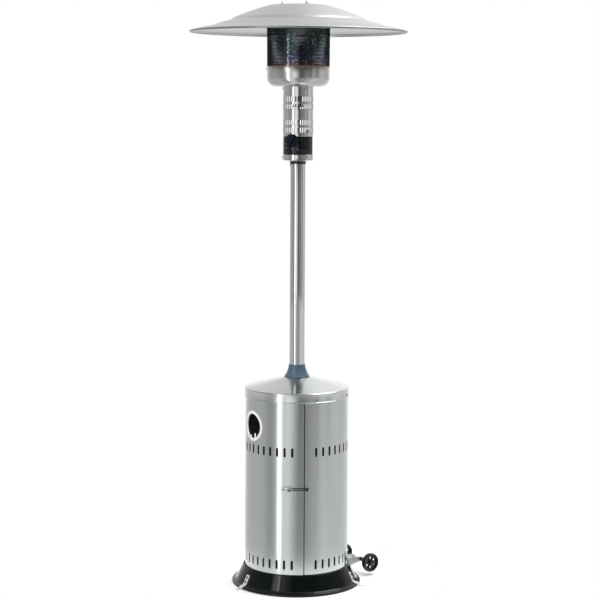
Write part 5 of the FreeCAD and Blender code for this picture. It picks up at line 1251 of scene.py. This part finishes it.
@dataclass
class Housing:
    """The two rolled halves of the bottle housing and the hand hole's trim."""

    radius: float = 195.5
    sheet: float = 0.8
    hem_radius: float = 189.5
    seam: float = 8.6
    pitch: float = 8.52
    columns: int = 19
    gap: float = 3.4
    vent: tuple[float, float] = (8.8, 35.0)
    vent_levels: tuple[float, float] = (105.6, 523.6)
    vent_bands: tuple[float, ...] = (85.0, 126.0, 300.0, 503.0, 544.0)
    hand_bearing: float = -57.5
    hand_height: float = 608.0
    hand_radius: float = 50.0
    joggle: Line = (
        (195.5, 704.6), (197.4, 706.4), (197.4, 738.0), (196.6, 738.0), (196.6, 706.8),
        (194.7, 704.9),
    )
    trim_section: Line = (
        (45.6, -3.4, 1.6), (45.6, 2.6, 1.8), (49.0, 3.6, 2.0), (56.4, 2.0, 1.4), (56.4, 0.1, 0.3),
        (49.8, 0.1, 0.0), (49.8, -0.9, 0.0), (56.4, -0.9, 0.3), (56.4, -2.6, 1.2),
        (49.0, -3.8, 1.8),
    )

    def build(self) -> None:
        """Makes the housing's pieces."""
        self.half("housing_shell_rolled", "housing_shell", "frame", self.seam, 66.0, 704.6)
        self.half("housing_door_rolled", "housing_door", "door", self.seam + 180, 69.8, 705.4)
        self.trim()

    def half(self, name: str, node: str, body: str, seam: float, low: float, top: float) -> None:
        """One half of the housing with its vents and hems.

        Args:
            name: The piece's name.
            node: The CAD node that it stands for.
            body: The body that it rides on.
            seam: Bearing where it starts.
            low: Its lowest height.
            top: Its highest height.
        """
        width = math.radians(self.pitch) * self.radius
        margin = 90 - self.pitch * self.columns / 2
        levels = [low, *self.vent_bands, top]
        vents = {band: slot(0, level, *self.vent) for band, level in zip((1, 4), self.vent_levels)}
        first = seam + margin + self.pitch / 2
        parts = [rolled_sheet(name, flat_cell(width, levels, vents), BRUSHED, columns=self.columns,
                              pitch=width, radius=self.radius, start=first)]
        seam_angle = math.degrees(self.gap / 2 / self.radius)
        edge_width = math.radians(margin - seam_angle) * self.radius
        inset = seam_angle / 2 + margin / 2
        for middle in (seam + inset, seam + 180 - inset):
            edge = flat_cell(edge_width, levels, {}, 6)
            parts.append(rolled_sheet(f"{name}_edge", edge, BRUSHED, columns=1, pitch=edge_width,
                                      radius=self.radius, start=middle))
        wall = join(name, parts)
        weld(wall)
        thicken(wall, self.sheet)
        if node == "housing_door":
            self.punch(wall)
            extra = self.hem(seam, top - self.sheet, top)
        else:
            extra = self.half_ring(seam, self.joggle)
        wall_normals(wall)
        hem = self.hem(seam, low, low + self.sheet)
        piece = join_keep_normals(name, [wall, hem, extra])
        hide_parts(node)
        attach(piece, body)

    def punch(self, wall: Piece) -> None:
        """Cuts the round hand hole through the door's wall.

        Args:
            wall: The wall.
        """
        builder = bmesh.new()
        r, near, far = self.hand_radius, 120, 260
        spin_profile(builder, [(0, near), (r, near), (r, far), (0, far)], 72,
                     Matrix.Translation((0, 0, self.hand_height)) @ facing(self.hand_bearing))
        cutter = finished("hand_hole_cutter", builder, BRUSHED)
        modified(wall, "BOOLEAN", operation="DIFFERENCE", object=cutter, solver="EXACT")
        bpy.data.objects.remove(cutter)

    def half_ring(self, seam: float, outline: Line) -> Piece:
        """A half ring with a given section.

        Args:
            seam: Bearing where its half of the housing starts.
            outline: Its section as (radius, height).

        Returns:
            The half ring.
        """
        builder = bmesh.new()
        edge = math.degrees(self.gap / 2 / self.radius)
        steps = 96
        bearings = (seam + edge + (180 - 2 * edge) * k / steps for k in range(steps + 1))
        skin(builder, [[builder.verts.new(at(b, r, z)) for r, z in outline] for b in bearings],
             False)
        return finished("arc", builder, BRUSHED)

    def hem(self, seam: float, low: float, top: float) -> Piece:
        """An inward hem between two heights."""
        inner = self.radius - self.sheet
        return self.half_ring(seam, [(self.hem_radius, low), (inner, low), (inner, top),
                                     (self.hem_radius, top)])

    def trim(self) -> None:
        """The moulded edge trim, bent to the wall's curve."""
        builder = bmesh.new()
        section = soften(self.trim_section, 1.0)
        rings = []
        for x, y in circle(0, 0, 1, 96):
            ring = []
            for radius, lift in section:
                turn = math.degrees(math.asin(radius * x / self.radius))
                ring.append(builder.verts.new(at(
                    self.hand_bearing + turn, self.radius + lift, self.hand_height + radius * y)))
            rings.append(ring)
        skin(builder, rings, True)
        piece = finished("hand_hole_trim_moulded", builder, WHITE_TPE, 40.0)
        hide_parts("hand_hole_trim")
        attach(piece, "door")


# Lid and post


@dataclass
class LidAndPost:
    """Conical lid, post, collar and their screws."""

    screws: tuple[float, ...] = (20.6, 72.6, 124.6)
    screw_seat: tuple[float, float] = (198.9, 719.0)
    lid: Line = (
        (31.0, 783.1), (196.0, 742.6, 5.0), (200.0, 739.0, 3.0), (198.6, 733.5, 3.0),
        (198.6, 710.6, 2.0), (201.2, 708.6, 1.2), (201.2, 706.6, 0.2), (200.4, 706.6, 0.2),
        (200.4, 708.2, 0.8), (197.8, 710.2, 2.0), (197.8, 733.3, 2.0), (199.1, 738.8, 2.0),
        (195.7, 741.8, 4.0), (31.0, 782.3),
    )
    post: Line = ((27.5, 706.5), (29.0, 706.5), (29.0, 1598.0), (27.5, 1598.0))
    collar: Line = (
        (48.5, 779.3), (48.5, 780.3), (44.0, 787.0, 3.6), (39.4, 796.0, 3.6), (35.6, 805.5, 3.6),
        (32.9, 815.5, 3.6), (31.5, 823.0, 3.6), (31.3, 826.2), (30.3, 827.0), (29.2, 827.0),
        (29.2, 784.2),
    )

    def build(self) -> None:
        """Makes the lid's and the post's pieces."""
        lid = turned("lid_spun", soften(self.lid, 0.2, 5), LID_STEEL)
        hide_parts("top_cover")
        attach(lid, "frame")
        heads = [(at(b, *self.screw_seat), outwards(b)) for b in self.screws]
        screws = scatter("lid_screw_heads", pan_head(), heads, SCREW_STEEL)
        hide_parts("cover_screws")
        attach(screws, "frame")
        post = turned("post_tube_brushed", soften(self.post, 0.4, 2), POST_STEEL, 96)
        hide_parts("post")
        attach(post, "frame")
        collar = turned("post_collar_moulded", soften(self.collar, 0.4), COLLAR_PP, 128, 40.0)
        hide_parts("post_collar")
        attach(collar, "frame")


# Burner head


@dataclass
class Column:
    """Slotted burner column with its control panel and knob."""

    radius: float = 58.2
    sheet: float = 0.8
    foot: float = 1698.5
    top: float = 1885.5
    rows: tuple[float, ...] = (1721.0, 1750.0, 1810.0, 1840.0)
    row_half: float = 12.5
    vent: tuple[float, float] = (4.4, 21.0)
    vents: int = 40
    neck: Line = (
        (57.4, 1607.0, 0.0), (59.2, 1607.0, 0.4), (59.2, 1609.4, 0.9), (58.2, 1611.0, 0.8),
        (58.2, 1627.5, 1.0), (55.9, 1629.0, 1.0), (55.9, 1696.0, 1.0), (58.2, 1697.5, 0.6),
        (58.2, 1698.5, 0.0), (57.4, 1698.5, 0.0), (57.4, 1697.9, 0.0), (55.1, 1696.4, 0.6),
        (55.1, 1628.6, 0.6), (57.4, 1627.1, 0.6),
    )
    panel_section: Line = ((56.1, 1629.2), (57.3, 1629.2), (57.3, 1695.8), (56.1, 1695.8))
    panel_start: float = -105.0
    panel_sweep: float = 180.0
    print_radius: float = 57.35
    white_marks: Line = (
        (-52.0, 1652.0, 1.2, 6.0), (-1.0, 1648.0, 1.2, 6.0), (-23.0, 1650.0, 3.4, 1.2),
    )
    red_mark: tuple[float, ...] = (14.0, 1685.0, 1.8, 4.4)
    knob_bearing: float = -23.0
    knob_height: float = 1681.0
    knob_face: float = 61.5
    knob_skirt: Line = (
        (4.05, 0.0, 0.0), (24.6, 0.0, 0.5), (25.6, 1.4, 0.8), (24.9, 10.4, 2.0), (22.6, 12.2, 1.6),
        (19.8, 11.0, 1.5), (4.05, 10.8, 0.0),
    )
    knob_grip: Line = (
        (-5.4, -22.0, 3.4), (5.4, -22.0, 3.4), (6.2, 0, 5.0), (5.4, 22.0, 3.4), (-5.4, 22.0, 3.4),
        (-6.2, 0, 5.0),
    )
    grip_height: float = 19.0
    grip_lean: float = -31.0
    dot: Line = ((0, 11.9), (1.6, 11.9), (1.4, 12.4), (0, 12.5))
    dot_lean: float = 32.0
    dot_reach: float = 22.2
    screw_bearings: tuple[float, ...] = (-90.0, 30.0, 150.0)
    screw_seats: Line = ((29.2, 1586.6), (58.4, 1617.0), (58.4, 1880.0), (120.7, 1953.0))

    def build(self) -> None:
        """Makes the column's pieces."""
        self.wall()
        self.panel()
        self.knob()
        self.fasteners()

    def wall(self) -> None:
        """The slotted tube and the necked part under it."""
        width = 2 * math.pi * self.radius / self.vents
        levels, windows = [self.foot], {}
        for height in self.rows:
            levels += [height - self.row_half, height + self.row_half]
            windows[len(levels) - 2] = slot(0, height, *self.vent)
        cell = flat_cell(width, [*levels, self.top], windows, 2)
        tube = rolled_sheet("column_tube", cell, COLUMN_STEEL, columns=self.vents, pitch=width,
                            radius=self.radius)
        weld(tube)
        thicken(tube, self.sheet)
        wall_normals(tube)
        lower = turned("column_neck", soften(self.neck, 0.3, 3), COLUMN_STEEL, 160)
        piece = join_keep_normals("burner_column_rolled", [tube, lower])
        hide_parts("burner_column")
        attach(piece, "frame")

    def panel(self) -> None:
        """The wrap-around panel with plain printed marks."""
        builder = bmesh.new()
        section = soften(self.panel_section, 0.35, 2)
        steps = 90
        bearings = (self.panel_start + self.panel_sweep * k / steps for k in range(steps + 1))
        skin(builder, [[builder.verts.new(at(b, r, z)) for r, z in section] for b in bearings],
             False)
        panel = finished("control_panel_moulded", builder, PANEL_ABS)
        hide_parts("control_panel")
        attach(panel, "frame")
        for name, marks, ink in (("panel_marks_white", self.white_marks, PRINT_WHITE),
                                 ("panel_mark_red", [self.red_mark], PRINT_RED)):
            builder = bmesh.new()
            for mark in marks:
                self.mark(builder, *mark)
            printed = finished(name, builder, ink, recalculate=False)
            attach(printed, "frame")

    def mark(self, builder: Mesh, bearing: float, height: float, wide: float, tall: float) -> None:
        """Adds a printed bar, a hair above the panel.

        Args:
            builder: The mesh to add to.
            bearing: Bearing of its middle.
            height: Height of its middle.
            wide: Its width.
            tall: Its height.
        """
        half = math.degrees(wide / 2 / self.print_radius)
        corners = [at(bearing + half * x, self.print_radius, height + tall / 2 * y)
                   for x, y in ((-1, -1), (1, -1), (1, 1), (-1, 1))]
        builder.faces.new([builder.verts.new(corner) for corner in corners])

    def knob(self) -> None:
        """The knob: a dished skirt with a slanted grip bar and a pointer dot."""
        spot = at(self.knob_bearing, self.knob_face, self.knob_height)
        place = Matrix.Translation(spot) @ facing(self.knob_bearing)
        builder = bmesh.new()
        spin_profile(builder, soften(self.knob_skirt, 0.5), 96, place)
        lean = Matrix.Rotation(math.radians(self.grip_lean), 4, "Z")
        plate(builder, soften(self.knob_grip, 2.0, 5), [], self.grip_height,
              place @ lean @ LAID_FLAT)
        knob = finished("control_knob_moulded", builder, KNOB_ABS)
        bevelled(knob, 0.7, 3)
        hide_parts("control_knob")
        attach(knob, "knob")
        dot = bmesh.new()
        spin_profile(dot, self.dot, 20,
                     place @ Matrix.Rotation(math.radians(self.dot_lean), 4, "Z")
                     @ Matrix.Translation((-self.dot_reach, 0, 0)))
        piece = finished("knob_dot_printed", dot, PRINT_WHITE)
        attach(piece, "knob")

    def fasteners(self) -> None:
        """Screw heads of the column, post and bowl."""
        heads = [(at(bearing, *seat), outwards(bearing))
                 for bearing in self.screw_bearings for seat in self.screw_seats]
        piece = scatter("head_screw_heads", pan_head(), heads, SCREW_STEEL)
        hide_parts("head_screws")
        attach(piece, "frame")


@dataclass
class BurnerHead:
    """Bowl, perforated emitter and reflector."""

    bowl: float = 120.5
    bowl_corner: float = 35.0
    bowl_level: float = 1922.0
    bowl_sheet: float = 0.8
    bowl_bore: float = 16.3
    bowl_floor: float = 1887.0
    bowl_rim: Line = ((120.5, 1963.6), (120.3, 1964.0), (119.9, 1964.0), (119.7, 1963.6))
    screen: float = 120.1
    screen_low: float = 1971.0
    screen_top: float = 2121.0
    screen_sheet: float = 0.8
    hole: float = 2.5
    pitch: float = 6.4
    rows: int = 28
    slope: float = 1.5 / 160
    emitter_foot: Line = (
        (117.0, 1964.2), (120.8, 1964.2), (120.8, 1967.2), (120.05, 1968.2), (120.1, 1971.0, 0),
        (119.3, 1971.0, 0), (119.2, 1968.2), (117.0, 1967.2),
    )
    emitter_head: Line = ((121.5, 2121.0, 0), (121.5, 2128.0), (120.7, 2128.0), (120.7, 2121.0, 0))
    crown: float = 2200.0
    sheet_step: tuple[float, float] = (0.6, 1.0)
    reflector_top: Line = (
        (0.0, 2200.0, 0.0), (107.0, 2200.0, 14.0), (147.0, 2188.8, 14.0), (186.0, 2174.8, 14.0),
        (224.0, 2161.0, 12.0), (243.0, 2153.0, 8.0), (254.0, 2147.6, 5.0), (262.0, 2140.8, 8.0),
        (300.0, 2131.0, 14.0), (339.0, 2117.0, 14.0), (377.0, 2111.0, 14.0), (412.0, 2102.5, 3.0),
        (417.0, 2101.0, 0.0),
    )
    rim_start: float = 413.0
    rim_roll: tuple[float, float, float] = (414.0, 2097.5, 4.0)
    rim_inside: tuple[float, float] = (2093.6, 2099.5)
    stud_bearings: tuple[float, ...] = (27.0, 147.0, 267.0)
    stud_circle: float = 64.0

    def build(self) -> None:
        """Makes the head's pieces."""
        self.bowl_piece()
        self.emitter()
        self.reflector()

    def bowl_piece(self) -> None:
        """The spun bowl."""
        outer, inner = (arc(self.bowl - self.bowl_corner, self.bowl_level, radius, -90, 90, 14)
                        for radius in (self.bowl_corner, self.bowl_corner - self.bowl_sheet))
        profile = [(self.bowl_bore, self.bowl_floor), *outer, *self.bowl_rim, *reversed(inner),
                   (self.bowl_bore, self.bowl_floor + self.bowl_sheet)]
        piece = turned("burner_bowl_spun", profile, BOWL_STEEL)
        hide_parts("burner_bowl")
        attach(piece, "frame")

    def emitter(self) -> None:
        """The perforated screen with plain bands at its two ends."""
        girth = 2 * math.pi * self.screen
        columns = round(girth / self.pitch)
        pitch = girth / columns
        height = (self.screen_top - self.screen_low) / self.rows
        builder = bmesh.new()
        w, h = pitch / 2, height
        outline = [(-w, 0.0), (0.0, 0.0), (w, 0.0), (w, h), (0.0, h), (-w, h)]
        fill_flat(builder, outline, [circle(0, h / 2, self.hole / 2, 8)])
        screen = rolled_sheet("emitter_mesh", as_cell(builder), EMITTER_STEEL, columns=columns,
                              rows=self.rows, pitch=pitch, row_height=height, stagger=0.5,
                              radius=self.screen, taper=self.slope, base=self.screen_low)
        weld(screen)
        thicken(screen, self.screen_sheet)
        wall_normals(screen, self.slope)
        foot = turned("emitter_foot", soften(self.emitter_foot, 0.4, 3), EMITTER_STEEL)
        head = turned("emitter_head", soften(self.emitter_head, 0.2, 2), EMITTER_STEEL)
        piece = join_keep_normals("emitter_screen_perforated", [screen, foot, head])
        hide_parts("emitter_screen")
        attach(piece, "frame")

    def reflector(self) -> None:
        """The spun reflector with its step and rolled rim, and its nuts."""
        rim, (low, high) = self.rim_start, self.rim_inside
        inwards, down = self.sheet_step
        outer = [p for p in soften(self.reflector_top, 8.0, 6) if p[0] < rim]
        inner = [(max(r - inwards, 0.0), z - down) for r, z in outer]
        bead = arc(*self.rim_roll, 90, -180, 8)
        profile = [*outer, *bead, (rim, low), (rim, high), *reversed(inner)]
        piece = turned("reflector_spun", profile, SPUN, 288, 28.0)
        # The roll's outer, lower faces get the darker colour: painted shade along the rolled rim.
        second_finish(piece, RIM_PAINTED_SHADE, lambda face: face.center.xy.length > (rim + 0.2) * MM
                      and face.center.z < high * MM)
        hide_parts("reflector")
        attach(piece, "frame")
        places = [(at(b, self.stud_circle, self.crown), Vector((0, 0, 1)))
                  for b in self.stud_bearings]
        nuts = scatter("reflector_nuts_fitted", hex_nut(6.0, 6.0, 3.0), places, SCREW_STEEL)
        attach(nuts, "frame")


# What stays as CAD


# By finish: the CAD nodes that it goes on.
CAD_FINISHES: tuple[tuple[Finish, str], ...] = (
    (SCREW_STEEL, "anchor_screws reflector_spacers"),
    (BLACK_ABS, "axle_fittings latch_hook post_top_ring tilt_switch"),
    (DARK_STEEL, "burner_cap burner_plate emitter_top_plate latch_bail latch_rivets mixing_tube "
                 "pilot_electrodes"),
    (LID_STEEL, "column_foot"),
    (NICKEL, "gas_injector"),
    (BRASS, "gas_inlet pilot_burner"),
    (ALUMINIUM_TUBE, "gas_pipe gas_valve"),
    (ZINC, "bowl_ring frame_bolts hinge_door_leaves hinge_fixed_leaves hinge_pins injector_bridge "
           "knob_spindle latch_base latch_keeper latch_lever mount_plate post_socket "
           "reflector_studs support_leg_1 support_leg_2 support_leg_3 valve_bracket wheel_axle "
           "wheel_bracket wheel_bracket_bolts"),
)


def dress_frame() -> None:
    """Gives every CAD node that still shows its own finish."""
    finishes = {name: finish for finish, names in CAD_FINISHES for name in names.split()}
    for name, node in frame["nodes"].items():
        if not node.hide_render:
            node.data.materials.clear()
            node.data.materials.append(finishes[name].material())


# Studio


@dataclass
class Studio:
    """Pale floor, soft lights and the photograph's camera."""

    # The camera's place in metres, its roll in degrees and its sensor in millimetres
    distance: float = 6.696
    eye: float = 1.798
    roll: float = 0.27
    sensor: float = 36.0
    # Its lens, and the picture's width, middle column and horizon, in the photograph's pixels
    lens: float = 1750.0
    picture: float = 600.0
    middle: float = 298.2
    horizon: float = 110.0
    floor_radius: float = 560.0
    reach_of_band: float = 3.0
    changes: tuple[tuple[float, float], ...] = ((-0.166, -0.150), (0.16, 0.36), (0.7, 0.9))
    below: Line = (
        (-180, 1.0), (-145, 0.69), (-116, 0.68), (-80, 0.67), (-72, 0.58), (-64, 0.45),
        (-52, 0.48), (-46, 0.6), (-43, 1.25), (-37, 1.1), (-32, 0.85), (-25, 1.0),
        (-20, 1.0), (-14, 0.75), (-7, 0.5), (2, 0.38), (12, 0.42), (30, 0.55), (46, 0.7), (62, 0.9),
        (76, 0.88), (93, 0.78), (134, 0.82), (180, 1.0),
    )
    level: Line = (
        (-180, 1.1), (-148, 0.9), (-136, 0.6), (-112, 0.52), (-88, 0.55), (-69, 0.40),
        (-52, 0.42), (-45, 0.7), (-41, 1.6), (-34, 1.6), (-30, 0.7), (-25, 0.8), (-20, 1.25),
        (-10, 1.25), (-5, 0.9), (1, 0.5), (6, 0.09), (13, 0.13), (26, 0.27), (38, 0.38), (44, 0.22),
        (49, 0.25), (54, 0.62), (60, 0.52), (67, 0.46), (75, 0.3), (88, 0.78), (100, 0.8),
        (124, 0.6), (150, 0.85), (165, 1.2), (180, 1.1),
    )
    above: Line = (
        (-180, 0.76), (-174, 0.78), (-165, 0.9), (-145, 0.75), (-110, 0.3), (-55, 0.2),
        (-49, 2.4), (-42, 2.4), (-36, 0.9), (-28, 1.0), (-20, 0.5), (-8, 0.1), (10, 0.12),
        (40, 0.1), (60, 0.2), (110, 0.3), (145, 0.85), (162, 1.32), (172, 1.05), (180, 0.76),
    )
    zenith: Line = ((-180, 0.72), (-90, 0.5), (0, 0.68), (90, 1.6), (180, 0.72))
    # Height in metres that the lamps look at
    lamp_aim: float = 0.8
    # Name, bearing, reach, height and size in metres, power, and whether metal mirrors it
    lamps: tuple[tuple, ...] = (
        ("strip_key", -38.0, 4.5, 0.8, (0.3, 5.6), 23.0, True),
        ("softbox_top", 0.0, 0.4, 9.0, (14.0, 14.0), 1000.0, False),
        ("softbox_right", 112.0, 5.4, 9.0, (7.0, 5.0), 340.0, True),
    )

    def build(self) -> None:
        """Makes the studio."""
        self.floor()
        self.world()
        self.lights()
        self.camera()
        bpy.context.scene.view_settings.view_transform = "Standard"

    def floor(self) -> None:
        """A round pale table that ends out of the picture's detail."""
        builder = bmesh.new()
        ring = circle(0, 0, self.floor_radius, 96)
        builder.faces.new([builder.verts.new((x, y, 0)) for x, y in ring])
        floor = finished("studio_floor", builder, Finish("studio_floor_paper", "#FCFCFC", 0.8))

    def world(self) -> None:
        """A studio in four heights: below the table, at eye level, above it and overhead."""
        world = bpy.data.worlds.new("studio")
        bpy.context.scene.world = world
        world.use_nodes = True
        tree = world.node_tree
        tree.nodes.clear()
        place = add_node(tree, "ShaderNodeTexCoord").outputs["Generated"]
        split = add_node(tree, "ShaderNodeSeparateXYZ", {0: place}).outputs
        heading = step(tree, "ARCTAN2", split[0], step(tree, "MULTIPLY", split[1], -1.0))
        share = spread(tree, heading, 0.0, 1.0, -math.pi, math.pi)
        colour, *upper = [self.band(tree, share, stops)
                          for stops in (self.below, self.level, self.above, self.zenith)]
        for band, (low, high) in zip(upper, self.changes):
            rise = spread(tree, split[2], 0.0, 1.0, low, high, "SMOOTHSTEP")
            colour = blend(tree, rise, colour, band)
        around = add_node(tree, "ShaderNodeBackground", {
            "Strength": self.reach_of_band, "Color": colour})
        plain = add_node(tree, "ShaderNodeBackground", {"Color": (1, 1, 1, 1), "Strength": 1.0})
        seen = add_node(tree, "ShaderNodeLightPath").outputs["Is Camera Ray"]
        mixed = add_node(tree, "ShaderNodeMixShader", {
            0: seen, 1: around.outputs[0], 2: plain.outputs[0]})
        add_node(tree, "ShaderNodeOutputWorld", {0: mixed.outputs[0]})

    def band(self, tree: Tree, share: Socket, stops: Line) -> Socket:
        """One height's brightness by bearing.

        Args:
            tree: The world's tree.
            share: The bearing from -180 to 180 degrees, as 0 to 1.
            stops: Bearings and their brightness.

        Returns:
            The brightness over the band's reach, as a colour.
        """
        shades = [value / self.reach_of_band for _, value in stops]
        return ramp(tree, share, [((bearing + 180) / 360, (shade, shade, shade, 1.0))
                                  for (bearing, _), shade in zip(stops, shades)])

    def lights(self) -> None:
        """A strip at the left, a wide box overhead for what is matt, and a box at the right."""
        for name, bearing, reach, level, size, power, mirrored in self.lamps:
            light = bpy.data.lights.new(name, "AREA")
            light.shape = "RECTANGLE"
            light.size, light.size_y = size
            light.energy = power
            lamp = placed(name, light)
            lamp.visible_glossy = mirrored
            lamp.location = at(bearing, reach, level)
            aim = Vector((0, 0, self.lamp_aim)) - lamp.location
            lamp.rotation_euler = aim.to_track_quat("-Z", "Y").to_euler()

    def camera(self) -> None:
        """The photograph's level, shifted view."""
        data = bpy.data.cameras.new("camera")
        data.sensor_width = self.sensor
        data.lens = self.lens / self.picture * self.sensor
        data.shift_x = (self.picture / 2 - self.middle) / self.picture
        data.shift_y = (self.horizon - self.picture / 2) / self.picture
        data.clip_end = 200.0
        camera = placed("camera", data)
        camera.location = (0.0, -self.distance, self.eye)
        level = Matrix.Rotation(math.radians(90), 3, "X")
        roll = Matrix.Rotation(math.radians(self.roll), 3, "Z")
        camera.rotation_euler = (level @ roll).to_euler()
        bpy.context.scene.camera = camera


def main() -> None:
    """Builds the looks in order and reports each piece."""
    logging.basicConfig(level=logging.INFO, format="%(message)s")
    for part in (Base(), Housing(), LidAndPost(), Column(), BurnerHead(), Studio()):
        known = set(bpy.data.objects.keys())
        part.build()
        for name in sorted(set(bpy.data.objects.keys()) - known):
            LOG.info("%s: %s", type(part).__name__, name)
    dress_frame()


if __name__ == "__main__":
    main()
